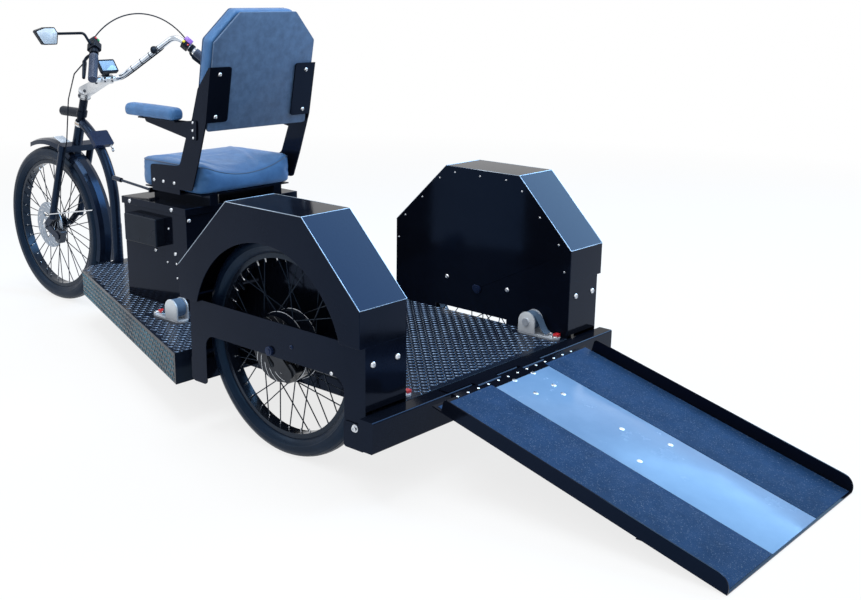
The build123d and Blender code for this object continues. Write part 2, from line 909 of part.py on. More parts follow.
fork_side = Plane(origin=steer.origin, x_dir=steer.x_dir, z_dir=(0, -1, 0))
crown_bottom = crown_top - crown_height
dropout_inner = leg_y - dropout_inset
caliper_turn = radians(205)
caliper_centre = rotor_radius - caliper_lap
with BuildPart() as fork:
    with BuildSketch(steer.offset(crown_bottom)):
        SlotOverall(2 * (leg_y + leg_radius + crown_edge), 2 * (leg_radius + crown_edge), rotation=90)
    extrude(amount=crown_height)
    with BuildSketch(steer.offset(crown_top)):
        Circle(steerer_radius)
    extrude(amount=riser_top - crown_top - steerer_short)
    with BuildSketch(steer.offset(leg_foot)):
        with Locations((0, leg_y), (0, -leg_y)):
            Circle(leg_radius)
    extrude(amount=crown_bottom - leg_foot)
    for dropout_y in (dropout_inner + dropout_plate, -dropout_inner):
        with BuildSketch(fork_side.offset(-dropout_y)):
            with Locations((0, leg_foot + 20)):
                Circle(leg_radius - 1)
            with Locations((fork_offset, 0)):
                Circle(leg_radius)
            make_hull()
        extrude(amount=dropout_plate)
    with BuildSketch(side(dropout_inner + dropout_plate)):
        with Locations((wheelbase, wheel_radius)):
            Circle(leg_radius)
        caliper_spot = (caliper_centre * cos(caliper_turn), caliper_centre * sin(caliper_turn))
        with Locations((wheelbase + caliper_spot[0], wheel_radius + caliper_spot[1])):
            Circle(leg_radius)
        make_hull()
    extrude(amount=dropout_plate)
    with BuildSketch(side(leg_y + leg_radius)):
        with Locations((wheelbase, wheel_radius)):
            Circle(front_axle_radius)
    extrude(amount=2 * (leg_y + leg_radius), mode=Mode.SUBTRACT)
fork.part.label = "fork"
export_step(fork.part, "parts/fork.step")

axle_end = dropout_inner + dropout_plate + 9
with BuildPart() as front_axle:
    with BuildSketch(side(axle_end)):
        with Locations((wheelbase, wheel_radius)):
            Circle(front_axle_radius)
    extrude(amount=2 * axle_end)
    for nut_y in (axle_end, -axle_end + 8):
        with BuildSketch(side(nut_y)):
            with Locations((wheelbase, wheel_radius)):
                RegularPolygon(front_axle_radius + 5, 6)
        extrude(amount=8)
front_axle.part.label = "front_axle"
export_step(front_axle.part, "parts/front_axle.step")

with BuildPart() as riser:
    with BuildSketch(steer.offset(riser_bottom)):
        Circle(riser_radius)
        Circle(steerer_radius + clamp_gap, mode=Mode.SUBTRACT)
    extrude(amount=riser_length)
riser.part.label = "riser"
export_step(riser.part, "parts/riser.step")

stem_root = steer.from_local_coords(Vector(0, 0, riser_top + stem_cap))
with BuildPart() as stem:
    with BuildSketch(steer.offset(riser_top)):
        Circle(stem_end_radius + stem_step)
    extrude(amount=stem_cap)
    with BuildSketch(side(stem_half)):
        with Locations((stem_root.X - rear_axle_x, stem_root.Z)):
            Circle(stem_end_radius)
        with Locations((clamp_x, clamp_z)):
            Circle(clamp_radius - stem_step)
        make_hull()
    extrude(amount=2 * stem_half)
    with BuildSketch(side(clamp_half)):
        with Locations((clamp_x, clamp_z)):
            Circle(clamp_radius)
    extrude(amount=2 * clamp_half)
    with BuildSketch(steer.offset(riser_top)):
        Circle(4 * stem_end_radius)
    extrude(amount=-2 * stem_end_radius, mode=Mode.SUBTRACT)
    with BuildSketch(side(clamp_half)):
        with Locations((clamp_x, clamp_z)):
            Circle(bar_radius + clamp_gap)
    extrude(amount=2 * clamp_half, mode=Mode.SUBTRACT)
stem.part.label = "stem"
export_step(stem.part, "parts/stem.step")

# Handlebar with grips, levers, switch pods, display, mirror and cable

bar_left = [clamp + Vector(0, bar_straight, 0), clamp + Vector(*bar_rise), clamp + Vector(*bar_end)]
bar_points = [Vector(p.X, -p.Y, p.Z) for p in reversed(bar_left)] + bar_left
with BuildPart() as handlebar:
    with BuildLine() as bar_path:
        bent_path(bar_points, bar_bend)
    with BuildSketch(start_plane(bar_points)):
        Circle(bar_radius)
    sweep(path=bar_path.line)
handlebar.part.label = "handlebar"
export_step(handlebar.part, "parts/handlebar.step")

# Planes across the left end of the bar: z runs inward along the bar, x points ahead of it
grip_run = (bar_left[1] - bar_left[2]).normalized()
grip_ahead = (Vector(1, 0, 0) - grip_run * grip_run.X).normalized()
grip_end = Plane(origin=bar_left[2], x_dir=grip_ahead, z_dir=grip_run)

with BuildPart() as grips:
    with BuildSketch(grip_end.offset(-grip_cap)):
        Circle(grip_radius)
    extrude(amount=grip_length + grip_cap)
    with BuildSketch(grip_end):
        Circle(bar_radius + clamp_gap)
    extrude(amount=grip_length, mode=Mode.SUBTRACT)
    mirror(about=Plane.XZ)
grips.part.label = "grips"
export_step(grips.part, "parts/grips.step")

lever_points = [
    grip_end.from_local_coords(Vector(perch_radius - perch_bite, 0, perch_place + perch_length / 2)),
    grip_end.from_local_coords(Vector(lever_reach, 0, perch_place + perch_length / 2)),
    grip_end.from_local_coords(Vector(lever_reach, 0, perch_place + perch_length / 2 - lever_length)),
]
with BuildPart() as brake_levers:
    with BuildSketch(grip_end.offset(perch_place)):
        Circle(perch_radius)
    extrude(amount=perch_length)
    with BuildLine() as lever_path:
        bent_path(lever_points, 3 * lever_radius)
    with BuildSketch(start_plane(lever_points)):
        Circle(lever_radius)
    sweep(path=lever_path.line)
    with BuildSketch(grip_end.offset(perch_place)):
        Circle(bar_radius + clamp_gap)
    extrude(amount=perch_length, mode=Mode.SUBTRACT)
    mirror(about=Plane.XZ)
brake_levers.part.label = "brake_levers"
export_step(brake_levers.part, "parts/brake_levers.step")

with BuildPart() as switch_pods:
    with BuildSketch(grip_end.offset(pod_place)):
        RectangleRounded(pod_width, pod_height, pod_round)
        Circle(bar_radius + clamp_gap, mode=Mode.SUBTRACT)
    extrude(amount=pod_length)
    mirror(about=Plane.XZ)
switch_pods.part.label = "switch_pods"
export_step(switch_pods.part, "parts/switch_pods.step")

display_plane = Plane(
    origin=at(display_x, 0, display_z),
    x_dir=(0, -1, 0),
    z_dir=(-cos(radians(display_tilt)), 0, sin(radians(display_tilt))),
)
with BuildPart() as display:
    with BuildSketch(display_plane):
        RectangleRounded(display_width, display_height, display_round)
    extrude(amount=-display_depth)
    with BuildSketch(side(bracket_half)):
        with BuildLine():
            Polyline(
                (display_x + 8, display_z + 12),
                (display_x + 2, display_z - 20),
                (clamp_x - 4, clamp_z),
                (clamp_x + 12, clamp_z),
                (display_x + 32, display_z + 4),
                close=True,
            )
        make_face()
    extrude(amount=2 * bracket_half)
    add(stem.part, mode=Mode.SUBTRACT)
    with BuildSketch(side(bracket_half)):
        with Locations((clamp_x, clamp_z)):
            Circle(clamp_radius)
    extrude(amount=2 * bracket_half, mode=Mode.SUBTRACT)
    with BuildSketch(display_plane):
        Rectangle(3 * display_width, 3 * display_height)
    extrude(amount=3 * display_depth, mode=Mode.SUBTRACT)
display.part.label = "display"
export_step(display.part, "parts/display.step")

mirror_points = [
    grip_end.from_local_coords(Vector(0, pod_height / 2, pod_place + pod_length / 2)),
    at(mirror_x - 76, mirror_inner - 60, mirror_z + 12),
    at(mirror_x + mirror_depth / 2, mirror_inner + 4, mirror_z + 8),
]
with BuildPart() as mirror_unit:
    with BuildLine() as mirror_path:
        bent_path(mirror_points, mirror_stem_bend)
    with BuildSketch(start_plane(mirror_points)):
        Circle(mirror_stem_radius)
    sweep(path=mirror_path.line)
    with BuildSketch(across(mirror_x)) as mirror_outline:
        with BuildLine():
            Polyline(
                (mirror_inner, mirror_z + 10),
                (mirror_inner + 14, mirror_z + 32),
                (mirror_inner + 54, mirror_z + 32),
                (mirror_inner + 95, mirror_z + 20),
                (mirror_inner + 62, mirror_z - 31),
                (mirror_inner + 6, mirror_z - 31),
                close=True,
            )
        make_face()
        fillet(mirror_outline.vertices(), radius=mirror_round)
    extrude(amount=mirror_depth)
    add(switch_pods.part, mode=Mode.SUBTRACT)
mirror_unit.part.label = "mirror"
export_step(mirror_unit.part, "parts/mirror.step")

cable_seat = bar_radius + cable_radius + cable_lift
cable_left = grip_end.from_local_coords(Vector(0, cable_seat, pod_place + pod_length - running_gap))
cable_right = Vector(cable_left.X, -cable_left.Y, cable_left.Z)
with BuildPart() as control_cable:
    with BuildLine() as cable_path:
        cable_arc = ThreePointArc(cable_left, clamp + Vector(*cable_peak), cable_right)
    with BuildSketch(Plane(origin=cable_left, z_dir=cable_arc % 0)):
        Circle(cable_radius)
    sweep(path=cable_path.line)
    add(switch_pods.part, mode=Mode.SUBTRACT)
control_cable.part.label = "control_cable"
export_step(control_cable.part, "parts/control_cable.step")

lamp_root = steer.from_local_coords(Vector(0, 0, lamp_height))
with BuildPart() as headlamp:
    with BuildSketch(steer.offset(lamp_height - lamp_clamp / 2)):
        Circle(riser_radius + lamp_clamp_wall)
    extrude(amount=lamp_clamp)
    with BuildSketch(Plane(origin=lamp_root, x_dir=(0, 1, 0), z_dir=(1, 0, 0))):
        Circle(lamp_radius)
    extrude(amount=lamp_reach)
    with BuildSketch(steer.offset(lamp_height - 2 * lamp_radius)):
        Circle(riser_radius + clamp_gap)
    extrude(amount=4 * lamp_radius, mode=Mode.SUBTRACT)
headlamp.part.label = "headlamp"
export_step(headlamp.part, "parts/headlamp.step")

# Mudguard and stays

front_axle_point = at(wheelbase, 0, wheel_radius)
guard_start = radians(mudguard_front)
mudguard_plane = Plane(
    origin=front_axle_point,
    x_dir=(0, 1, 0),
    z_dir=(sin(guard_start), 0, -cos(guard_start)),
)
mudguard_outer = mudguard_inner + mudguard_skin
with BuildPart() as mudguard:
    with BuildSketch(mudguard_plane):
        with BuildLine():
            Polyline(
                (-mudguard_half, mudguard_lip),
                (-mudguard_half + 5, mudguard_outer - 7),
                (-mudguard_half + 24, mudguard_outer),
                (mudguard_half - 24, mudguard_outer),
                (mudguard_half - 5, mudguard_outer - 7),
                (mudguard_half, mudguard_lip),
                (mudguard_half - mudguard_skin, mudguard_lip),
                (mudguard_half - 5 - mudguard_skin, mudguard_inner - 7),
                (mudguard_half - 24, mudguard_inner),
                (-mudguard_half + 24, mudguard_inner),
                (-mudguard_half + 5 + mudguard_skin, mudguard_inner - 7),
                (-mudguard_half + mudguard_skin, mudguard_lip),
                close=True,
            )
        make_face()
    revolve(axis=Axis(front_axle_point, (0, -1, 0)), revolution_arc=mudguard_arc)
    with BuildSketch(steer.offset(crown_bottom)):
        Rectangle(2 * leg_radius, 2 * leg_radius)
    extrude(amount=sqrt(mudguard_inner**2 - fork_offset**2) + 1 - crown_bottom)
mudguard.part.label = "mudguard"
export_step(mudguard.part, "parts/mudguard.step")

stay_y = leg_y + leg_radius + stay_radius + running_gap
stay_low = steer.from_local_coords(Vector(0, stay_y, leg_foot + stay_lift))
stay_turn = radians(mudguard_front + mudguard_arc - stay_place)
stay_high = at(
    wheelbase + (mudguard_lip + stay_inset) * cos(stay_turn),
    mudguard_half + stay_radius + running_gap,
    wheel_radius + (mudguard_lip + stay_inset) * sin(stay_turn),
)
with BuildPart() as mudguard_stays:
    with BuildSketch(Plane(origin=stay_low, z_dir=stay_high - stay_low)):
        Circle(stay_radius)
    extrude(amount=(stay_high - stay_low).length)
    mirror(about=Plane.XZ)
mudguard_stays.part.label = "mudguard_stays"
export_step(mudguard_stays.part, "parts/mudguard_stays.step")

# Wheels: tyre, laced wheel and brake rotor, one set per row

Wheel = namedtuple("Wheel", "name x y out flange_radius flange_y shell_radius seat cap back bore cross")
front_bore = front_axle_radius + running_gap
rear_bore = rear_axle_radius + running_gap
front_cap = dropout_inner - front_hub_gap
rear_cap = guard_outer - sheet - wheel_y - axle_collar
rear_back = wheel_y - inner_face - axle_spacer
front_seat = front_cap - front_rotor_room
rear_seat = rear_cap - rotor_room
wheels = [
    Wheel("front", wheelbase, 0, 1, 32, 24, 20, front_seat, front_cap, front_cap, front_bore, 60),
    Wheel("rear_left", 0, wheel_y, 1, 108, 24, 104, rear_seat, rear_cap, rear_back, rear_bore, 30),
    Wheel("rear_right", 0, -wheel_y, -1, 108, 24, 104, rear_seat, rear_cap, rear_back, rear_bore, 30),
]
# Tyre section from the rim to the tread: inset from the full half width, depth below the full radius
Bulge = namedtuple("Bulge", "inset depth")
bulges = [Bulge(11, tyre_depth), Bulge(1, 38), Bulge(0, 23), Bulge(9, 7), Bulge(25, 0)]
tyre_section = [(tyre_half - bulge.inset, wheel_radius - bulge.depth) for bulge in bulges]
tyre_mirrored = [(-half, radius) for half, radius in reversed(tyre_section)]
flange_plate = 4
hub_neck = 13
rotor_boss = 26
spoke_inset = 3

for wheel in wheels:
    centre = at(wheel.x, wheel.y, wheel_radius)
    spin = Axis(centre, (0, 1, 0))
    # Local x of the section plane runs along the axle, away from the middle line, and local y is the radius
    section = Plane(origin=centre, x_dir=(0, wheel.out, 0), z_dir=(-wheel.out, 0, 0))

    with BuildPart() as tyre:
        with BuildSketch(section):
            with BuildLine():
                Polyline(*tyre_section, *tyre_mirrored, close=True)
            make_face()
        revolve(axis=spin)
    tyre.part.label = f"{wheel.name}_tyre"
    export_step(tyre.part, f"parts/{wheel.name}_tyre.step")

    # Spokes lean forward and back in turn, from one flange and then the other
    spokes = []
    for number in range(spoke_count):
        flange_side = 1 if number % 2 else -1
        lead = 1 if number % 4 < 2 else -1
        rim_turn = radians(number * 360 / spoke_count)
        hub_turn = rim_turn + radians(lead * wheel.cross)
        hub_y = flange_side * (wheel.flange_y + lead * spoke_radius)
        hub_hole = wheel.flange_radius - spoke_inset
        start = centre + Vector(hub_hole * cos(hub_turn), hub_y, hub_hole * sin(hub_turn))
        nipple = rim_inner + spoke_inset
        finish = centre + Vector(nipple * cos(rim_turn), flange_side * spoke_inset, nipple * sin(rim_turn))
        spokes.append((start, finish))

    with BuildPart() as laced_wheel:
        with BuildSketch(section):
            with BuildLine():
                Polyline(
                    (-wheel.back, wheel.bore),
                    (-wheel.back, hub_neck),
                    (-wheel.flange_y - flange_plate, hub_neck),
                    (-wheel.flange_y - flange_plate, wheel.flange_radius),
                    (-wheel.flange_y + flange_plate, wheel.flange_radius),
                    (-wheel.flange_y + flange_plate, wheel.shell_radius),
                    (wheel.flange_y - flange_plate, wheel.shell_radius),
                    (wheel.flange_y - flange_plate, wheel.flange_radius),
                    (wheel.flange_y + flange_plate, wheel.flange_radius),
                    (wheel.flange_y + flange_plate, rotor_boss),
                    (wheel.seat, rotor_boss),
                    (wheel.seat, hub_neck),
                    (wheel.cap, hub_neck),
                    (wheel.cap, wheel.bore),
                    close=True,
                )
            make_face()
            with Locations((0, (rim_inner + rim_outer) / 2)):
                Rectangle(2 * rim_half, rim_outer - rim_inner)
        revolve(axis=spin)
        with BuildSketch(*[Plane(origin=start, z_dir=finish - start) for start, finish in spokes]):
            RegularPolygon(spoke_radius, 6)
        extrude(amount=(spokes[0][1] - spokes[0][0]).length)
    laced_wheel.part.label = f"{wheel.name}_wheel"
    export_step(laced_wheel.part, f"parts/{wheel.name}_wheel.step")

    with BuildPart() as rotor:
        with BuildSketch(Plane(origin=centre, x_dir=(1, 0, 0), z_dir=(0, wheel.out, 0)).offset(wheel.seat)):
            Circle(rotor_radius)
            Circle(hub_neck + running_gap, mode=Mode.SUBTRACT)
            with PolarLocations((rotor_boss + rotor_radius - rotor_track) / 2, rotor_arms):
                SlotOverall(window_length, window_width, rotation=window_turn, mode=Mode.SUBTRACT)
            with PolarLocations(rotor_radius - rotor_track / 2, rotor_slots):
                SlotOverall(slot_length, slot_width, rotation=slot_turn, mode=Mode.SUBTRACT)
        extrude(amount=rotor_thickness)
    rotor.part.label = f"{wheel.name}_rotor"
    export_step(rotor.part, f"parts/{wheel.name}_rotor.step")

# Brake calipers: a block with a slot over the rotor

front_wheel, rear_wheel = wheels[0], wheels[1]
front_rotor_y = front_wheel.seat + rotor_thickness / 2
with BuildPart() as front_caliper:
    caliper_plane = Plane(
        origin=at(
            wheelbase + caliper_centre * cos(caliper_turn),
            front_rotor_y,
            wheel_radius + caliper_centre * sin(caliper_turn),
        ),
        x_dir=(-sin(caliper_turn), 0, cos(caliper_turn)),
        z_dir=(0, 1, 0),
    )
    with BuildSketch(caliper_plane.offset(-caliper_slot / 2 - caliper_wall)):
        RectangleRounded(caliper_length, caliper_height, caliper_round)
    extrude(amount=dropout_inner - running_gap - front_rotor_y + caliper_slot / 2 + caliper_wall)
    with BuildSketch(side(front_rotor_y + caliper_slot / 2)):
        with Locations((wheelbase, wheel_radius)):
            Circle(rotor_radius + caliper_clear)
    extrude(amount=caliper_slot, mode=Mode.SUBTRACT)
front_caliper.part.label = "front_caliper"
export_step(front_caliper.part, "parts/front_caliper.step")

# Brake hose from the left lever past the riser, down behind the left fork leg to the caliper
hose_back = leg_radius + crown_edge + hose_radius + running_gap
hose_points = [
    grip_end.from_local_coords(Vector(perch_radius - perch_bite, 0, perch_place + perch_length / 2)),
    clamp + Vector(*hose_loop),
    clamp + Vector(*hose_turn),
    steer.from_local_coords(Vector(-hose_back, leg_y, crown_top + hose_crown_rise)),
    steer.from_local_coords(Vector(-hose_back, leg_y, leg_foot + hose_leg_rise)),
    caliper_plane.from_local_coords(Vector(hose_bite - caliper_length / 2, 0, caliper_slot / 2 + hose_inset)),
]
with BuildPart() as brake_hose:
    with BuildLine() as hose_path:
        bent_path(hose_points, hose_bend)
    with BuildSketch(start_plane(hose_points)):
        Circle(hose_radius)
    sweep(path=hose_path.line)
    add(brake_levers.part, mode=Mode.SUBTRACT)
    add(front_caliper.part, mode=Mode.SUBTRACT)
brake_hose.part.label = "brake_hose"
export_step(brake_hose.part, "parts/brake_hose.step")

# Each rear caliper hangs from a bracket round the axle's collar, on the inside of the guard

rear_caliper_turn = radians(220)
rear_spot = (caliper_centre * cos(rear_caliper_turn), wheel_radius + caliper_centre * sin(rear_caliper_turn))
rotor_y = wheel_y + rear_wheel.seat + rotor_thickness / 2
bracket_outer = guard_outer - sheet
with BuildPart() as rear_calipers:
    caliper_plane = Plane(
        origin=at(rear_spot[0], rotor_y, rear_spot[1]),
        x_dir=(-sin(rear_caliper_turn), 0, cos(rear_caliper_turn)),
        z_dir=(0, 1, 0),
    )
    with BuildSketch(caliper_plane.offset(-caliper_slot / 2 - caliper_wall)):
        RectangleRounded(caliper_length, caliper_height, caliper_round)
    extrude(amount=bracket_outer - bracket_plate - rotor_y + caliper_slot / 2 + caliper_wall)
    with BuildSketch(side(rotor_y + caliper_slot / 2)):
        with Locations((0, wheel_radius)):
            Circle(rotor_radius + caliper_clear)
    extrude(amount=caliper_slot, mode=Mode.SUBTRACT)
    with BuildSketch(side(bracket_outer)):
        with Locations((0, wheel_radius)):
            Circle(collar_radius + bracket_wall)
        with Locations(rear_spot):
            Circle(caliper_height / 2)
        make_hull()
        with Locations((0, wheel_radius)):
            Circle(collar_radius + running_gap, mode=Mode.SUBTRACT)
    extrude(amount=bracket_plate)
    mirror(about=Plane.XZ)
rear_calipers.part.label = "rear_calipers"
export_step(rear_calipers.part, "parts/rear_calipers.step")

# Rear axles: a pin between inner plate and guard, with collars beside the hub and nuts outside
# Stretches along the axle: start, end, radius
Stretch = namedtuple("Stretch", "start end radius")
stretches = [
    Stretch(house_inner - axle_nut, guard_outer + axle_nut, rear_axle_radius),
    Stretch(house_inner - axle_nut + axle_tip, house_inner, collar_radius),
    Stretch(inner_face, wheel_y - rear_wheel.back - collar_gap, collar_radius),
    Stretch(wheel_y + rear_wheel.cap + collar_gap, guard_outer - sheet, collar_radius),
    Stretch(guard_outer, guard_outer + axle_nut - axle_tip, collar_radius),
]
with BuildPart() as rear_axles:
    for stretch in stretches:
        with BuildSketch(side(stretch.start)):
            with Locations((0, wheel_radius)):
                Circle(stretch.radius)
        extrude(amount=stretch.start - stretch.end)
    mirror(about=Plane.XZ)
rear_axles.part.label = "rear_axles"
export_step(rear_axles.part, "parts/rear_axles.step")

# Ramp and its hinge: u runs down the ramp and v out of its upper face

ramp_turn = radians(ramp_slope)
ramp_u = (-cos(ramp_turn), 0, -sin(ramp_turn))
ramp_v = (-sin(ramp_turn), 0, cos(ramp_turn))
hinge_point = at(hinge_x, 0, hinge_z)
ramp_face = Plane(origin=hinge_point, x_dir=ramp_u, z_dir=ramp_v)
ramp_side = Plane(origin=hinge_point, x_dir=ramp_u, z_dir=(0, 1, 0))
ramp_start = knuckle_radius + ramp_edge
knuckle_pitch = knuckle_length + knuckle_gap
ramp_knuckles = [-2 * knuckle_pitch, 0, 2 * knuckle_pitch]
deck_knuckles = [-knuckle_pitch, knuckle_pitch]
hinge_length = 5 * knuckle_length + 4 * knuckle_gap

with BuildPart() as ramp:
    with BuildSketch(ramp_face.offset(ramp_top - tread_plate)):
        with Locations(((ramp_start + ramp_length) / 2, 0)):
            Rectangle(ramp_length - ramp_start, 2 * ramp_half_width)
        with Locations(*[(ramp_start / 2, y) for y in ramp_knuckles]):
            Rectangle(ramp_start, knuckle_length)
    extrude(amount=tread_plate)
    for flange_y in (ramp_half_width, tread_plate - ramp_half_width):
        with BuildSketch(ramp_side.offset(flange_y)) as flange_outline:
            flange_middle_z = ramp_top + (ramp_flange - tread_plate) / 2
            with Locations(((ramp_flange_start + ramp_length) / 2, flange_middle_z)):
                Rectangle(ramp_length - ramp_flange_start, ramp_flange + tread_plate)
            upper = flange_outline.vertices().group_by(Axis.Y)[-1].sort_by(Axis.X)
            fillet(upper[-1], radius=ramp_end_round)
            fillet(flange_outline.vertices().group_by(Axis.Y)[-1].sort_by(Axis.X)[0], radius=ramp_start_round)
        extrude(amount=-tread_plate)
    for y in ramp_knuckles:
        with BuildSketch(ramp_side.offset(y - knuckle_length / 2)):
            Circle(knuckle_radius)
        extrude(amount=knuckle_length)
    with BuildSketch(ramp_side.offset(-hinge_length / 2)):
        Circle(pin_radius + running_gap)
    extrude(amount=hinge_length, mode=Mode.SUBTRACT)
ramp.part.label = "ramp"
export_step(ramp.part, "parts/ramp.step")

with BuildPart() as ramp_feet:
    with BuildSketch(ramp_side.offset(ramp_foot_y + ramp_foot_width / 2)):
        with BuildLine():
            Polyline(
                (ramp_foot_start, ramp_top - tread_plate),
                (ramp_foot_start + ramp_foot_length, ramp_top - tread_plate),
                (ramp_foot_start + ramp_foot_length, ramp_top - tread_plate - foot_depth_low),
                (ramp_foot_start, ramp_top - tread_plate - foot_depth_high),
                close=True,
            )
        make_face()
    extrude(amount=-ramp_foot_width)
    mirror(about=Plane.XZ)
ramp_feet.part.label = "ramp_feet"
export_step(ramp_feet.part, "parts/ramp_feet.step")

# Deck side of the hinge: leaf on the crossbeam, knuckles and pin

leaf_plate = knuckle_radius - hinge_drop
with BuildPart() as deck_hinge:
    with BuildSketch(top(deck_height)):
        with Locations(((leaf_front + beam_rear + leaf_edge) / 2, 0)):
            Rectangle(leaf_front - beam_rear - leaf_edge, hinge_length)
        with Locations(*[((hinge_x + beam_rear + leaf_edge) / 2, y) for y in deck_knuckles]):
            Rectangle(beam_rear + leaf_edge - hinge_x, knuckle_length)
    extrude(amount=leaf_plate)
    for y in deck_knuckles:
        with BuildSketch(side(y + knuckle_length / 2)):
            with Locations((hinge_x, hinge_z)):
                Circle(knuckle_radius)
        extrude(amount=knuckle_length)
    with BuildSketch(side(hinge_length / 2)):
        with Locations((hinge_x, hinge_z)):
            Circle(pin_radius)
    extrude(amount=hinge_length)
deck_hinge.part.label = "deck_hinge"
export_step(deck_hinge.part, "parts/deck_hinge.step")
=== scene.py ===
"""Dresses an electric motor trike that carries a wheelchair: finishes, padding, tread, fasteners and studio."""

import logging
import math
from dataclasses import dataclass, field
from enum import Enum
from typing import ClassVar, Iterable, Sequence

import bmesh
import bpy
from mathutils import Matrix, Vector, kdtree


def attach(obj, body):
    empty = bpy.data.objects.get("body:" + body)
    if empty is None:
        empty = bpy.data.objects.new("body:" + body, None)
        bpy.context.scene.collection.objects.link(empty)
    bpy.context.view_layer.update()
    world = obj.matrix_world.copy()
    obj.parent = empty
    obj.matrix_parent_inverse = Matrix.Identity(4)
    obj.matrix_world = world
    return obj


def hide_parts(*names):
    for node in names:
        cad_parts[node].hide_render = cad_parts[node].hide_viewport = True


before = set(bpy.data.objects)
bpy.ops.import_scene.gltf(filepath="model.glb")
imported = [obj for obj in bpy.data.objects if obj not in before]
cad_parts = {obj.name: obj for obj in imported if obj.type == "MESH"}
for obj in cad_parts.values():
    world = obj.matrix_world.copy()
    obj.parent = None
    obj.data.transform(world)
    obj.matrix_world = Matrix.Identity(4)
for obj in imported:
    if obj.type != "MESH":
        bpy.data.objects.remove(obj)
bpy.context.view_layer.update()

LOG = logging.getLogger("trike")
MM = 0.001
REAR_AXLE_X = -0.49998
SIDES = (1, -1)
AHEAD, LEFT, UP = Vector((1, 0, 0)), Vector((0, 1, 0)), Vector((0, 0, 1))

CHASSIS = "chassis"
STEERING = "steering"
RAMP = "ramp_set"

Pair = tuple[float, float]
Point = tuple[float, float, float]
Box = tuple[float, float, float, float]
Mesh = bpy.types.Mesh
Socket = bpy.types.NodeSocket


def at(x: float, y: float, z: float) -> Vector:
    """Turns millimetres ahead of the rear axle, left of the middle line and up into a point of the frame, in metres."""
    return Vector((REAR_AXLE_X + x * MM, y * MM, z * MM))


def circle(count: int) -> list[float]:
    """Angles of even steps round a full turn."""
    return [2 * math.pi * step / count for step in range(count)]


def upright(turn: float) -> Vector:
    """The way from an axle that lies across the trike, at one angle."""
    return Vector((math.cos(turn), 0, math.sin(turn)))


class NodeTree:
    """Short way to add and join nodes in one tree."""

    def __init__(self, tree: bpy.types.NodeTree) -> None:
        """Keeps the tree that nodes are added to, and empties it."""
        self.tree = tree
        tree.nodes.clear()

    def add(self, kind: str, inputs: dict | None = None, **settings: object) -> bpy.types.Node:
        """Adds one node.

        Args:
            kind: Blender's type name of the node.
            inputs: Values or sockets for the node's inputs, by name or number.
            settings: Attributes of the node.

        Returns:
            The new node.
        """
        node = self.tree.nodes.new(kind)
        for key, value in settings.items():
            setattr(node, key, value)
        for key, value in (inputs or {}).items():
            if isinstance(value, Socket):
                self.tree.links.new(value, node.inputs[key])
            else:
                node.inputs[key].default_value = value
        return node

    def out(self, kind: str, output: str | int, inputs: dict | None = None, **settings: object) -> Socket:
        """Adds one node and gives one of its outputs, by name or number."""
        return self.add(kind, inputs, **settings).outputs[output]

    def span(self, value: Socket, low: float, high: float, first: float = 0.0, last: float = 1.0) -> Socket:
        """Maps a value's span from low to high on the span from first to last."""
        ends = {"From Min": low, "From Max": high, "To Min": first, "To Max": last}
        return self.out("ShaderNodeMapRange", "Result", {"Value": value, **ends})

    def noise(self, coord: Socket, scale: float, detail: float, roughness: float = 0.5) -> Socket:
        """Makes a noise pattern."""
        values = {"Vector": coord, "Scale": scale, "Detail": detail, "Roughness": roughness}
        return self.out("ShaderNodeTexNoise", "Fac", values)

    def mix(self, factor: Socket, first: Box | Socket, last: Box | Socket) -> Socket:
        """Mixes two colours."""
        return self.out("ShaderNodeMix", 2, {"Factor": factor, 6: first, 7: last}, data_type="RGBA")

    def calc(self, operation: str, first: Socket, last: Socket) -> Socket:
        """Works out one value from two."""
        return self.out("ShaderNodeMath", 0, {0: first, 1: last}, operation=operation)


class Grain(Enum):
    """Kinds of fine relief that a surface has."""

    PEEL = "orange peel of sprayed paint"
    PEBBLE = "pebbled vinyl"
    MOULD = "moulded plastic or rubber"
    BRUSH = "brushed metal"
    GRIT = "sharp grit"


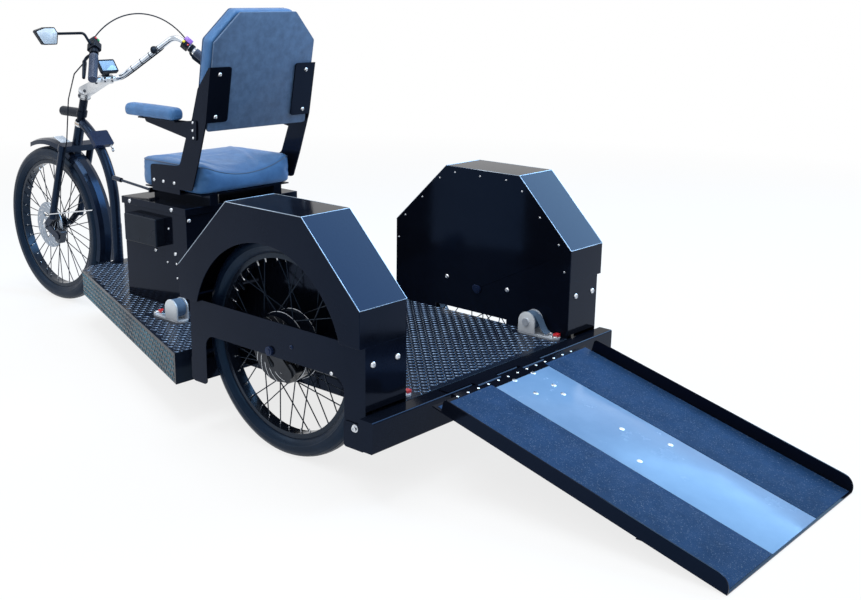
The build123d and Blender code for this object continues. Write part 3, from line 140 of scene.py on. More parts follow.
@dataclass(frozen=True)
class Finish:
    """One finish of the trike, made from nodes.

    Colours are linear. Sizes are in metres.
    """

    name: str
    color: Point
    shade: Point
    roughness: float
    grain: Grain
    grain_size: float
    relief: float
    metallic: float = 0.0
    specular: float = 0.5
    coat: float = 0.0
    sheen: float = 0.0
    rough_spread: float = 0.08
    mottle_size: float = 0.09
    # Share of the surface with painted glints, bright specks in the colour
    painted_glint: float = 0.0
    # Colour of the reflections. Blue tints make reflections of the white surroundings look blue: painted reflection
    # colour.
    painted_reflection_tint: Point = (1.0, 1.0, 1.0)
    # Share by which the reflection is lowered on upward faces, which makes them darker
    top_shine_drop: float = 0.0

    level_faces: ClassVar[Pair] = (0.9, 0.99)
    brush_run: ClassVar[float] = 24.0
    pebbles_in_fold: ClassVar[float] = 9.0
    mottle_span: ClassVar[Pair] = (0.32, 0.68)
    wear_span: ClassVar[Pair] = (0.3, 0.7)
    wear_scale: ClassVar[float] = 2.3
    painted_glint_scale: ClassVar[float] = 0.8
    painted_glint_fade: ClassVar[float] = 0.6
    painted_glint_color: ClassVar[Box] = (0.09, 0.13, 0.2, 1.0)
    relief_depth: ClassVar[float] = 0.4
    coat_roughness: ClassVar[float] = 0.08

    def shine(self, nodes: NodeTree) -> Socket | float:
        """Finds the specular level, which is lower on faces that look up, which makes their reflections darker.

        Args:
            nodes: The material's tree.

        Returns:
            A plain number, or a socket that lowers it on the upper faces.
        """
        if not self.top_shine_drop:
            return self.specular
        normal = nodes.out("ShaderNodeTexCoord", "Normal")
        up = nodes.out("ShaderNodeSeparateXYZ", "Z", {"Vector": normal})
        return nodes.span(up, *self.level_faces, self.specular, self.specular * (1 - self.top_shine_drop))

    def height(self, nodes: NodeTree, coord: Socket) -> Socket:
        """Makes the height of the fine relief.

        Args:
            nodes: The material's tree.
            coord: Object coordinates.

        Returns:
            The socket with the height.
        """
        scale = 1 / self.grain_size
        if self.grain is Grain.BRUSH:
            stretch = (1.0, self.brush_run, self.brush_run)
            run = nodes.out("ShaderNodeMapping", 0, {"Vector": coord, "Scale": stretch})
            return nodes.noise(run, scale / self.brush_run, 3.0)
        if self.grain in (Grain.PEBBLE, Grain.GRIT):
            feature = "F1" if self.grain is Grain.GRIT else "SMOOTH_F1"
            cells = nodes.out("ShaderNodeTexVoronoi", "Distance", {"Vector": coord, "Scale": scale}, feature=feature)
            if self.grain is Grain.GRIT:
                return cells
            return nodes.calc("ADD", cells, nodes.noise(coord, scale / self.pebbles_in_fold, 4.0))
        return nodes.noise(coord, scale, 1.0 if self.grain is Grain.PEEL else 5.0)

    def base(self, nodes: NodeTree, coord: Socket) -> Socket:
        """Makes the colour, mottled and with painted glints, bright specks mixed in where the finish has them.

        Args:
            nodes: The material's tree.
            coord: Object coordinates.

        Returns:
            The socket with the colour.
        """
        mottle = nodes.noise(coord, 1 / self.mottle_size, 6.0, 0.62)
        color = nodes.mix(nodes.span(mottle, *self.mottle_span), (*self.color, 1.0), (*self.shade, 1.0))
        # Painted glints: bright specks mixed into the colour stand in for glints of light.
        if self.painted_glint:
            scale = self.painted_glint_scale / self.grain_size
            dots = nodes.out("ShaderNodeTexVoronoi", "Color", {"Vector": coord, "Scale": scale})
            chosen = nodes.out("ShaderNodeSeparateColor", "Red", {"Color": dots})
            bright = nodes.span(chosen, 1 - self.painted_glint, 1 - self.painted_glint * self.painted_glint_fade)
            color = nodes.mix(bright, color, self.painted_glint_color)
        return color

    def rough(self, nodes: NodeTree, coord: Socket) -> Socket:
        """Makes the roughness, which is uneven with wear.

        Args:
            nodes: The material's tree.
            coord: Object coordinates.

        Returns:
            The socket with the roughness.
        """
        wear = nodes.noise(coord, self.wear_scale / self.mottle_size, 8.0, 0.7)
        low, high = max(0.02, self.roughness - self.rough_spread), min(1.0, self.roughness + self.rough_spread)
        return nodes.span(wear, *self.wear_span, low, high)

    def material(self) -> bpy.types.Material:
        """Makes the material on first use.

        Returns:
            The material.
        """
        known = bpy.data.materials.get(self.name)
        if known is not None:
            return known
        made = bpy.data.materials.new(self.name)
        made.use_nodes = True
        nodes = NodeTree(made.node_tree)
        coord = nodes.out("ShaderNodeTexCoord", "Object")
        depth = self.grain_size * self.relief_depth
        bump = {"Height": self.height(nodes, coord), "Strength": self.relief, "Distance": depth}
        shader = nodes.out("ShaderNodeBsdfPrincipled", 0, {
            "Base Color": self.base(nodes, coord),
            "Roughness": self.rough(nodes, coord),
            "Normal": nodes.out("ShaderNodeBump", "Normal", bump),
            "Metallic": self.metallic,
            "Specular IOR Level": self.shine(nodes),
            "Coat Weight": self.coat,
            "Coat Roughness": self.coat_roughness,
            "Sheen Weight": self.sheen,
            # Blue specular tints are painted reflection colour.
            "Specular Tint": (*self.painted_reflection_tint, 1.0),
        })
        nodes.add("ShaderNodeOutputMaterial", {"Surface": shader})
        return made


class Coat:
    """All finishes of the trike: name, two colours, roughness, grain, its size and its relief."""

    SHEET = Finish(
        "gloss_black_sheet", (0.0028, 0.0038, 0.0075), (0.0045, 0.006, 0.011), 0.09, Grain.PEEL, 0.004, 0.03,
        specular=0.16, painted_reflection_tint=(0.1, 0.36, 1.0), rough_spread=0.04, mottle_size=0.3, top_shine_drop=0.8,
    )
    TUBE = Finish(
        "black_frame_tube", (0.004, 0.006, 0.013), (0.007, 0.011, 0.022), 0.16, Grain.PEEL, 0.003, 0.06,
        specular=0.34, painted_reflection_tint=(0.25, 0.5, 1.0),
    )
    TREAD = Finish(
        "black_tread_plate", (0.005, 0.008, 0.017), (0.009, 0.014, 0.026), 0.2, Grain.PEEL, 0.0022, 0.16,
        specular=0.1, painted_reflection_tint=(0.4, 0.7, 1.0), rough_spread=0.1, mottle_size=0.16,
    )
    # The lozenge crowns are lighter, bluish and metallic so that they show the highlights that gloss lozenges catch:
    # painted highlight.
    CROWN = Finish(
        "worn_tread_lozenges", (0.045, 0.07, 0.12), (0.085, 0.125, 0.19), 0.2, Grain.PEEL, 0.0018, 0.2,
        metallic=0.85, rough_spread=0.1, mottle_size=0.12,
    )
    # The skirt lozenges' teal second colour, mottled in large patches, is painted reflection: the teal streaks that the
    # skirts reflect.
    SKIRT = Finish(
        "worn_skirt_lozenges", (0.012, 0.022, 0.04), (0.05, 0.15, 0.21), 0.24, Grain.PEEL, 0.0018, 0.2,
        metallic=0.85, rough_spread=0.1, mottle_size=0.3,
    )
    # Thin bright tubes on the wheel-house folds are painted highlights of the folded edges.
    EDGE_HIGHLIGHT = Finish(
        "bare_sheet_edge", (0.16, 0.22, 0.3), (0.42, 0.5, 0.6), 0.28, Grain.BRUSH, 0.0012, 0.12,
        metallic=0.9, mottle_size=0.12,
    )
    # The ramp's centre plate is dark and glossy; its light blue colour is painted sky reflection.
    RAMP = Finish(
        "ramp_centre_strip", (0.15, 0.275, 0.47), (0.19, 0.33, 0.54), 0.2, Grain.PEEL, 0.004, 0.05,
        specular=0.22, painted_reflection_tint=(0.6, 0.8, 1.0), rough_spread=0.12, mottle_size=0.2,
    )
    # The grit strips are black; their blue colour is painted sky reflection, and their bright specks are painted
    # glints.
    GRIT = Finish(
        "black_grit_strip", (0.008, 0.034, 0.095), (0.014, 0.05, 0.135), 0.66, Grain.GRIT, 0.0018, 0.9,
        specular=0.12, painted_glint=0.06,
    )
    VINYL = Finish(
        "slate_vinyl", (0.07, 0.185, 0.4), (0.048, 0.132, 0.3), 0.4, Grain.PEBBLE, 0.0016, 0.4,
        specular=0.34, painted_reflection_tint=(0.6, 0.8, 1.0), sheen=0.05, mottle_size=0.05,
    )
    PANEL = Finish(
        "slate_back_panel", (0.087, 0.155, 0.275), (0.054, 0.101, 0.19), 0.5, Grain.PEBBLE, 0.0014, 0.5,
        specular=0.3, sheen=0.05, mottle_size=0.028,
    )
    PIPING = Finish("slate_welt", (0.045, 0.085, 0.17), (0.06, 0.11, 0.21), 0.45, Grain.PEBBLE, 0.0012, 0.3)
    PLASTIC = Finish(
        "black_moulded_plastic", (0.005, 0.007, 0.013), (0.008, 0.011, 0.019), 0.32, Grain.MOULD, 0.0011, 0.18,
        specular=0.14, painted_reflection_tint=(0.4, 0.65, 1.0),
    )
    NAVY = Finish(
        "navy_plastic", (0.006, 0.012, 0.038), (0.009, 0.017, 0.05), 0.3, Grain.MOULD, 0.0011, 0.18,
        specular=0.3, painted_reflection_tint=(0.4, 0.6, 1.0),
    )
    RUBBER = Finish(
        "moulded_black_rubber", (0.005, 0.007, 0.012), (0.008, 0.011, 0.018), 0.5, Grain.MOULD, 0.0014, 0.3,
        specular=0.18, painted_reflection_tint=(0.4, 0.65, 1.0),
    )
    GRIP = Finish("blue_grip_rubber", (0.014, 0.03, 0.07), (0.022, 0.042, 0.095), 0.5, Grain.MOULD, 0.0012, 0.35)
    TYRE = Finish(
        "balloon_tyre_rubber", (0.003, 0.007, 0.017), (0.005, 0.011, 0.026), 0.34, Grain.MOULD, 0.0018, 0.2,
        specular=0.2, painted_reflection_tint=(0.3, 0.6, 1.0), rough_spread=0.1,
    )
    RIM = Finish(
        "black_rim", (0.004, 0.006, 0.012), (0.007, 0.010, 0.018), 0.2, Grain.PEEL, 0.003, 0.05,
        specular=0.3, painted_reflection_tint=(0.4, 0.65, 1.0),
    )
    ZINC = Finish("zinc_fastener", (0.58, 0.61, 0.66), (0.7, 0.73, 0.77), 0.28, Grain.BRUSH, 0.0009, 0.15, 1.0)
    STEEL = Finish("brushed_steel", (0.36, 0.39, 0.44), (0.5, 0.53, 0.58), 0.34, Grain.BRUSH, 0.0008, 0.3, 1.0)
    CHROME = Finish(
        "polished_bar_chrome", (0.4, 0.46, 0.54), (0.66, 0.72, 0.8), 0.1, Grain.PEEL, 0.006, 0.02,
        metallic=1.0, rough_spread=0.05,
    )
    ALLOY = Finish("cast_silver_alloy", (0.4, 0.43, 0.47), (0.7, 0.72, 0.75), 0.3, Grain.MOULD, 0.004, 0.6, 1.0)
    GALVANISED = Finish(
        "galvanised_plate", (0.4, 0.44, 0.5), (0.62, 0.66, 0.72), 0.45, Grain.BRUSH, 0.001, 0.2,
        metallic=0.3, mottle_size=0.06,
    )
    ROTOR = Finish("ground_rotor_steel", (0.2, 0.25, 0.32), (0.36, 0.41, 0.48), 0.32, Grain.BRUSH, 0.0008, 0.3, 1.0)
    BLACK_STEEL = Finish(
        "blackened_steel", (0.012, 0.015, 0.022), (0.022, 0.027, 0.036), 0.36, Grain.BRUSH, 0.0009, 0.2, 0.6
    )
    DARK_STEEL = Finish(
        "dark_machined_steel", (0.05, 0.06, 0.08), (0.09, 0.105, 0.13), 0.34, Grain.BRUSH, 0.0009, 0.25, 0.9
    )
    # The mirror glass is mostly a pale matte colour, which is painted reflection of the bright surroundings, under a
    # thin coat.
    GLASS = Finish(
        "mirror_glass", (0.7, 0.78, 0.86), (0.76, 0.83, 0.9), 0.12, Grain.PEEL, 0.02, 0.0,
        metallic=0.1, coat=0.5, rough_spread=0.02,
    )
    SCREEN = Finish(
        "display_screen", (0.2, 0.36, 0.58), (0.28, 0.46, 0.68), 0.1, Grain.PEEL, 0.01, 0.0, coat=0.6, rough_spread=0.03
    )
    LENS = Finish("lamp_lens", (0.6, 0.63, 0.66), (0.72, 0.75, 0.78), 0.12, Grain.PEEL, 0.004, 0.3, coat=0.8)
    WHITE = Finish("white_plastic", (0.7, 0.73, 0.77), (0.78, 0.81, 0.84), 0.35, Grain.MOULD, 0.0012, 0.12)
    TAN = Finish("tan_spacer", (0.5, 0.36, 0.24), (0.62, 0.5, 0.38), 0.35, Grain.BRUSH, 0.001, 0.2)
    STRAP = Finish("navy_webbing", (0.045, 0.085, 0.15), (0.085, 0.15, 0.25), 0.8, Grain.GRIT, 0.0012, 0.6)
    RED = Finish("red_plastic", (0.55, 0.02, 0.03), (0.65, 0.035, 0.04), 0.32, Grain.MOULD, 0.001, 0.1)
    GREEN = Finish("green_plastic", (0.02, 0.35, 0.09), (0.03, 0.45, 0.12), 0.32, Grain.MOULD, 0.001, 0.1)
    YELLOW = Finish("yellow_plastic", (0.75, 0.6, 0.03), (0.82, 0.68, 0.05), 0.32, Grain.MOULD, 0.001, 0.1)
    VIOLET = Finish("violet_plastic", (0.25, 0.1, 0.5), (0.33, 0.15, 0.6), 0.32, Grain.MOULD, 0.001, 0.1)
    RUST = Finish("brown_rubber_edge", (0.2, 0.075, 0.03), (0.3, 0.115, 0.045), 0.7, Grain.MOULD, 0.002, 0.4)


def linked(name: str, data: bpy.types.ID) -> bpy.types.Object:
    """Makes an object in the scene.

    Args:
        name: The object's name.
        data: Its mesh, curve, lamp or camera.

    Returns:
        The object.
    """
    made = bpy.data.objects.new(name, data)
    bpy.context.scene.collection.objects.link(made)
    return made


def add_piece(
    name: str,
    mesh: Mesh,
    finish: Finish,
    body: str,
    replaces: Sequence[str] = (),
    slot: str | None = None,
    angle: float = 35.0,
) -> bpy.types.Object:
    """Puts a finished mesh on a body.

    Args:
        name: The piece's name.
        mesh: Its mesh, in the frame's own coordinates.
        finish: Its finish, where the mesh has none yet.
        body: The body that it rides on.
        replaces: CAD nodes that it stands for.
        slot: A material slot name for the piece; not used.
        angle: Edges sharper than this many degrees stay hard.

    Returns:
        The new object.
    """
    mesh.name = name
    if not mesh.materials:
        mesh.materials.append(finish.material())
    mesh.shade_smooth()
    mesh.set_sharp_from_angle(angle=math.radians(angle))
    piece = linked(name, mesh)
    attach(piece, body)
    if replaces:
        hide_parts(*replaces)
    LOG.info("%s on %s, %d faces", name, body, len(mesh.polygons))
    return piece


def mesh_of(bm: bmesh.types.BMesh) -> Mesh:
    """Turns a bmesh into a mesh whose faces look outward, and frees it.

    Args:
        bm: A closed shape.

    Returns:
        The mesh.
    """
    bmesh.ops.recalc_face_normals(bm, faces=bm.faces[:])
    if bm.calc_volume(signed=True) < 0:
        bmesh.ops.reverse_faces(bm, faces=bm.faces[:])
    mesh = bpy.data.meshes.new("part")
    bm.to_mesh(mesh)
    bm.free()
    return mesh


def evaluated(source: bpy.types.Object) -> Mesh:
    """Bakes an object with its modifiers into a plain mesh and removes the object.

    Args:
        source: The object.

    Returns:
        The mesh.
    """
    bpy.context.view_layer.update()
    graph = bpy.context.evaluated_depsgraph_get()
    mesh = bpy.data.meshes.new_from_object(source.evaluated_get(graph), depsgraph=graph)
    bpy.data.objects.remove(source)
    return mesh


def joined(parts: Iterable[Mesh]) -> Mesh:
    """Joins meshes into one that keeps their materials.

    Args:
        parts: Meshes with one material each, or none. They are removed.

    Returns:
        The joined mesh.
    """
    bm = bmesh.new()
    kept: list[bpy.types.Material] = []
    for part in parts:
        first = len(bm.faces)
        bm.from_mesh(part)
        bm.faces.ensure_lookup_table()
        if part.materials:
            if part.materials[0] not in kept:
                kept.append(part.materials[0])
            number = kept.index(part.materials[0])
            for face in bm.faces[first:]:
                face.material_index = number
        bpy.data.meshes.remove(part)
    mesh = bpy.data.meshes.new("joined")
    bm.to_mesh(mesh)
    bm.free()
    for material in kept:
        mesh.materials.append(material)
    return mesh


def painted(mesh: Mesh, finish: Finish) -> Mesh:
    """Gives all faces of a mesh one finish.

    Args:
        mesh: The mesh.
        finish: The finish.

    Returns:
        The same mesh.
    """
    mesh.materials.clear()
    mesh.materials.append(finish.material())
    mesh.polygons.foreach_set("material_index", [0] * len(mesh.polygons))
    return mesh


def loft(rings: Sequence[Sequence[Vector]]) -> Mesh:
    """Joins rings of points and closes both ends.

    Args:
        rings: Rings with equally many points.

    Returns:
        The closed mesh.
    """
    bm = bmesh.new()
    made = [[bm.verts.new(point) for point in ring] for ring in rings]
    count = len(made[0])
    for low, high in zip(made, made[1:]):
        for k in range(count):
            bm.faces.new((low[k], low[(k + 1) % count], high[(k + 1) % count], high[k]))
    bm.faces.new(made[0])
    bm.faces.new(made[-1])
    return mesh_of(bm)


def lathe(profile: Sequence[Pair], centre: Vector, axis: Vector, steps: int, closed: bool = False) -> Mesh:
    """Turns a profile round an axis.

    Args:
        profile: Pairs of place along the axis and radius, in millimetres.
        centre: A point on the axis, where the place is zero.
        axis: The axis.
        steps: Number of steps in a full turn.
        closed: Whether the profile's ends are joined.

    Returns:
        The mesh. Open ends are capped where the radius isn't zero.
    """
    along = axis.normalized()
    out = along.orthogonal().normalized()
    side = along.cross(out)
    bm = bmesh.new()
    rings = []
    for place, radius in profile:
        middle = centre + along * (place * MM)
        spokes = [(out * math.cos(t) + side * math.sin(t)) * (radius * MM) for t in circle(steps)]
        rings.append([bm.verts.new(middle + spoke) for spoke in (spokes if radius else spokes[:1])])
    pairs = list(zip(rings, rings[1:]))
    if closed:
        pairs.append((rings[-1], rings[0]))
    for low, high in pairs:
        for k in range(steps):
            corners = [low[k % len(low)], low[(k + 1) % len(low)], high[(k + 1) % len(high)], high[k % len(high)]]
            bm.faces.new(list(dict.fromkeys(corners)))
    if not closed:
        for ring in (rings[0], rings[-1]):
            if len(ring) > 1:
                bm.faces.new(ring)
    return mesh_of(bm)


def tube(points: Sequence[Vector], radius: float, sides: int = 10, closed: bool = False, curved: bool = True) -> Mesh:
    """Makes a tube along points.

    Args:
        points: The route.
        radius: The tube's radius in millimetres.
        sides: Number of sides of its section.
        closed: Whether the route is a loop.
        curved: Whether the route is a smooth spline with these control points, or straight runs.

    Returns:
        The mesh.
    """
    curve = bpy.data.curves.new("tube", "CURVE")
    curve.dimensions = "3D"
    curve.bevel_depth = radius * MM
    curve.bevel_resolution = max(1, sides // 4 - 1)
    curve.use_fill_caps = not closed
    curve.resolution_u = 6
    spline = curve.splines.new("NURBS" if curved else "POLY")
    spline.points.add(len(points) - 1)
    for point, place in zip(spline.points, points):
        point.co = (*place, 1.0)
    if curved:
        spline.order_u = 3
        spline.use_endpoint_u = not closed
    spline.use_cyclic_u = closed
    mesh = evaluated(linked("tube", curve))
    bpy.data.curves.remove(curve)
    bm = bmesh.new()
    bm.from_mesh(mesh)
    bpy.data.meshes.remove(mesh)
    bmesh.ops.remove_doubles(bm, verts=bm.verts[:], dist=0.001 * MM)
    return mesh_of(bm)


def prism(outline: Sequence[Vector], rise: Vector, edge: float = 0.0) -> Mesh:
    """Raises a flat outline into a plate.

    Args:
        outline: Corners in order.
        rise: From the outline to its copy.
        edge: Width of the bevel on every edge in millimetres, or zero.

    Returns:
        The mesh.
    """
    bm = bmesh.new()
    face = bm.faces.new([bm.verts.new(corner) for corner in outline])
    raised = bmesh.ops.extrude_face_region(bm, geom=[face])
    moved = [part for part in raised["geom"] if isinstance(part, bmesh.types.BMVert)]
    bmesh.ops.translate(bm, verts=moved, vec=rise)
    if edge:
        bmesh.ops.bevel(bm, geom=bm.edges[:], offset=edge * MM, segments=2, profile=0.5, affect="EDGES")
    return mesh_of(bm)


def block(place: Matrix, size: Point, edge: float, segments: int = 2) -> Mesh:
    """Makes a box with eased edges.

    Args:
        place: Where its middle is and how it is turned.
        size: Its three sides in millimetres.
        edge: Width of the bevel in millimetres.
        segments: Steps in the bevel.

    Returns:
        The mesh.
    """
    bm = bmesh.new()
    bmesh.ops.create_cube(bm, size=1.0)
    bmesh.ops.scale(bm, verts=bm.verts[:], vec=Vector(size) * MM)
    bmesh.ops.bevel(bm, geom=bm.edges[:], offset=edge * MM, segments=segments, profile=0.5, affect="EDGES")
    bmesh.ops.transform(bm, verts=bm.verts[:], matrix=place)
    return mesh_of(bm)


def plane_at(middle: Vector, facing: Vector, along: Vector) -> Matrix:
    """Matrix of a place.

    Args:
        middle: The place.
        facing: Its z.
        along: The way that its x is nearest to.

    Returns:
        The matrix.
    """
    z = facing.normalized()
    x = (along - z * along.dot(z)).normalized()
    return Matrix.Translation(middle) @ Matrix((x, z.cross(x), z)).transposed().to_4x4()


@dataclass(frozen=True)
class Spot:
    """Where one copy of a repeated piece goes."""

    place: Vector
    facing: Vector
    along: Vector = UP
    size: float = 1.0


class Scatter:
    """Geometry Nodes tree that sets copies of one piece on spots."""

    TREE = "copies_on_spots"
    FIELDS = (("facing", "FLOAT_VECTOR", "vector"), ("along", "FLOAT_VECTOR", "vector"), ("size", "FLOAT", "value"))
    SOCKETS = (("Geometry", "INPUT", "Geometry"), ("Copy", "INPUT", "Object"), ("Geometry", "OUTPUT", "Geometry"))

    @classmethod
    def tree(cls) -> bpy.types.NodeTree:
        """Builds the tree on first use.

        Returns:
            The tree.
        """
        known = bpy.data.node_groups.get(cls.TREE)
        if known is not None:
            return known
        tree = bpy.data.node_groups.new(cls.TREE, "GeometryNodeTree")
        for name, way, kind in cls.SOCKETS:
            tree.interface.new_socket(name, in_out=way, socket_type=f"NodeSocket{kind}")
        nodes = NodeTree(tree)
        given = nodes.add("NodeGroupInput").outputs
        facing, along, size = (
            nodes.out("GeometryNodeInputNamedAttribute", 0, {"Name": name}, data_type=kind)
            for name, kind, _ in cls.FIELDS
        )
        axes = {"primary_axis": "Z", "secondary_axis": "X"}
        copies = nodes.out("GeometryNodeInstanceOnPoints", 0, {
            "Points": nodes.out("GeometryNodeMeshToPoints", 0, {"Mesh": given["Geometry"]}),
            "Instance": nodes.out("GeometryNodeObjectInfo", "Geometry", {"Object": given["Copy"]}),
            "Rotation": nodes.out("FunctionNodeAxesToRotation", 0, {0: facing, 1: along}, **axes),
            "Scale": size,
        })
        real = nodes.out("GeometryNodeRealizeInstances", 0, {"Geometry": copies})
        nodes.add("NodeGroupOutput", {"Geometry": real})
        return tree

    @classmethod
    def mesh(cls, spots: Sequence[Spot], copy: Mesh, finish: Finish) -> Mesh:
        """Sets a copy on every spot.

        Args:
            spots: Where the copies go.
            copy: The mesh that is repeated, at the origin with z facing out.
            finish: The finish of all copies.

        Returns:
            One plain mesh.
        """
        points = bpy.data.meshes.new("spots")
        points.from_pydata([spot.place for spot in spots], [], [])
        for name, kind, slot in cls.FIELDS:
            values = points.attributes.new(name, kind, "POINT")
            for value, spot in zip(values.data, spots):
                setattr(value, slot, getattr(spot, name))
        holder, model = linked("spots", points), linked("copy", copy)
        modifier = holder.modifiers.new("copies", "NODES")
        modifier.node_group = cls.tree()
        sockets = {item.name: item.identifier for item in cls.tree().interface.items_tree if item.in_out == "INPUT"}
        modifier[sockets["Copy"]] = model
        mesh = evaluated(holder)
        bpy.data.objects.remove(model)
        return painted(mesh, finish)


class Fastener(Enum):
    """Kinds of fastener, each with its head's profile of height and radius in millimetres."""

    BUTTON = ((0.0, 5.2), (0.9, 5.2), (2.1, 4.6), (3.0, 3.2), (3.2, 2.4), (1.8, 2.2), (1.8, 0.0))
    RIVET = ((0.0, 3.2), (0.8, 2.9), (1.4, 1.9), (1.6, 0.0))
    WASHERED = (
        (0.0, 9.0), (1.4, 9.0), (1.6, 8.4), (1.6, 6.4), (6.0, 6.2), (6.6, 5.4), (6.6, 2.6), (4.0, 2.4), (4.0, 0.0),
    )
    DISC = ((0.0, 8.5), (0.8, 8.5), (1.3, 7.6), (1.5, 4.0), (1.3, 0.0))

    def set_on(self, spots: Sequence[Spot], finish: Finish) -> Mesh:
        """Sets a head on every spot."""
        return Scatter.mesh(spots, lathe(self.value, Vector(), UP, steps=12), finish)


@dataclass(frozen=True)
class Lamp:
    """One large soft lamp: its place and side in metres, its power in watts and its colour."""

    name: str
    place: Point
    power: float
    side: float
    color: Point


@dataclass
class Studio:
    """Plain floor, soft light and the camera."""

    camera_place: Point = (-2417.6, 2658.2, 1376.4)
    azimuth: float = -49.243
    down: float = 15.476
    roll: float = -0.8216
    lens: float = 47.454
    sensor: float = 36.0
    far: float = 200.0
    floor_half: float = 60.0
    floor_color: Box = (0.9, 0.91, 0.92, 1.0)
    floor_white: float = 0.8
    shadow_reach: float = 2.6
    white_reach: float = 7.0
    white: Box = (1.0, 1.0, 1.0, 1.0)
    sky: Box = (0.9, 0.95, 1.0, 1.0)
    sky_strength: float = 0.42
    aim: Point = (0.0, 0.0, 0.4)
    lamps: tuple[Lamp, ...] = (
        Lamp("key_lamp", (-2.6, 3.4, 4.2), 64.0, 3.2, (1.0, 0.99, 0.98)),
        Lamp("top_lamp", (0.1, 0.4, 4.8), 140.0, 2.6, (0.9, 0.96, 1.0)),
        Lamp("fill_lamp", (3.4, 3.0, 3.2), 45.0, 3.0, (1.0, 1.0, 1.0)),
        Lamp("back_lamp", (-1.9, -3.9, 3.6), 235.0, 3.4, (0.34, 0.66, 1.0)),
    )

    def build(self) -> None:
        """Makes floor, world, lamps and camera."""
        bpy.context.scene.view_settings.view_transform = "Standard"
        self.make_floor()
        self.make_world()
        self.make_lamps()
        self.make_camera()

    def seen(self, nodes: NodeTree) -> Socket:
        """Finds the rays that show the background: straight to the camera, in reflections and through glass.

        Args:
            nodes: The tree of the floor or the world.

        Returns:
            A socket that is 1 for such a ray.
        """
        path = nodes.add("ShaderNodeLightPath").outputs
        shown = nodes.calc("MAXIMUM", path["Is Camera Ray"], path["Is Glossy Ray"])
        return nodes.calc("MAXIMUM", shown, path["Is Transmission Ray"])

    def make_floor(self) -> None:
        """Makes the pale floor, which keeps the trike's shadow."""
        half = self.floor_half
        mesh = bpy.data.meshes.new("floor")
        mesh.from_pydata([(-half, -half, 0), (half, -half, 0), (half, half, 0), (-half, half, 0)], [], [(0, 1, 2, 3)])
        material = bpy.data.materials.new("pale_floor")
        material.use_nodes = True
        nodes = NodeTree(material.node_tree)
        matte = nodes.out("ShaderNodeBsdfDiffuse", 0, {"Color": self.floor_color})
        pale = nodes.out("ShaderNodeEmission", 0, {"Color": self.white, "Strength": 1.0})
        place = nodes.out("ShaderNodeTexCoord", "Object")
        away = nodes.out("ShaderNodeVectorMath", "Value", {0: place}, operation="LENGTH")
        fade = nodes.span(away, self.shadow_reach, self.white_reach, self.floor_white)
        seen = nodes.calc("MULTIPLY", self.seen(nodes), fade)
        mix = nodes.out("ShaderNodeMixShader", 0, {0: seen, 1: matte, 2: pale})
        nodes.add("ShaderNodeOutputMaterial", {"Surface": mix})
        mesh.materials.append(material)
        linked("floor", mesh)

    def make_world(self) -> None:
        """Makes the soft light from all round, white to the camera and in reflections."""
        world = bpy.data.worlds.new("studio")
        bpy.context.scene.world = world
        world.use_nodes = True
        nodes = NodeTree(world.node_tree)
        soft = nodes.out("ShaderNodeBackground", 0, {"Color": self.sky, "Strength": self.sky_strength})
        white = nodes.out("ShaderNodeBackground", 0, {"Color": self.white, "Strength": 1.0})
        mix = nodes.out("ShaderNodeMixShader", 0, {0: self.seen(nodes), 1: soft, 2: white})
        nodes.add("ShaderNodeOutputWorld", {"Surface": mix})

    def make_lamps(self) -> None:
        """Makes four large soft lamps, the back one where the sloped sheets mirror it."""
        for lamp in self.lamps:
            data = bpy.data.lights.new(lamp.name, "AREA")
            data.energy, data.size, data.color = lamp.power, lamp.side, lamp.color
            made = linked(lamp.name, data)
            made.location = lamp.place
            aim = Vector(self.aim) - Vector(lamp.place)
            made.rotation_euler = aim.to_track_quat("-Z", "Y").to_euler()

    def make_camera(self) -> None:
        """Sets the camera at the photograph's viewing angle."""
        az, el, roll = (math.radians(v) for v in (self.azimuth, self.down, self.roll))
        ahead = Vector((math.cos(el) * math.cos(az), math.cos(el) * math.sin(az), -math.sin(el)))
        right = ahead.cross(UP).normalized()
        down = ahead.cross(right)
        across = right * math.cos(roll) + down * math.sin(roll)
        below = down * math.cos(roll) - right * math.sin(roll)
        data = bpy.data.cameras.new("camera")
        data.lens, data.sensor_width, data.clip_end = self.lens, self.sensor, self.far
        camera = linked("camera", data)
        turn = Matrix((across, -below, -ahead)).transposed().to_4x4()
        camera.matrix_world = Matrix.Translation(at(*self.camera_place)) @ turn
        bpy.context.scene.camera = camera


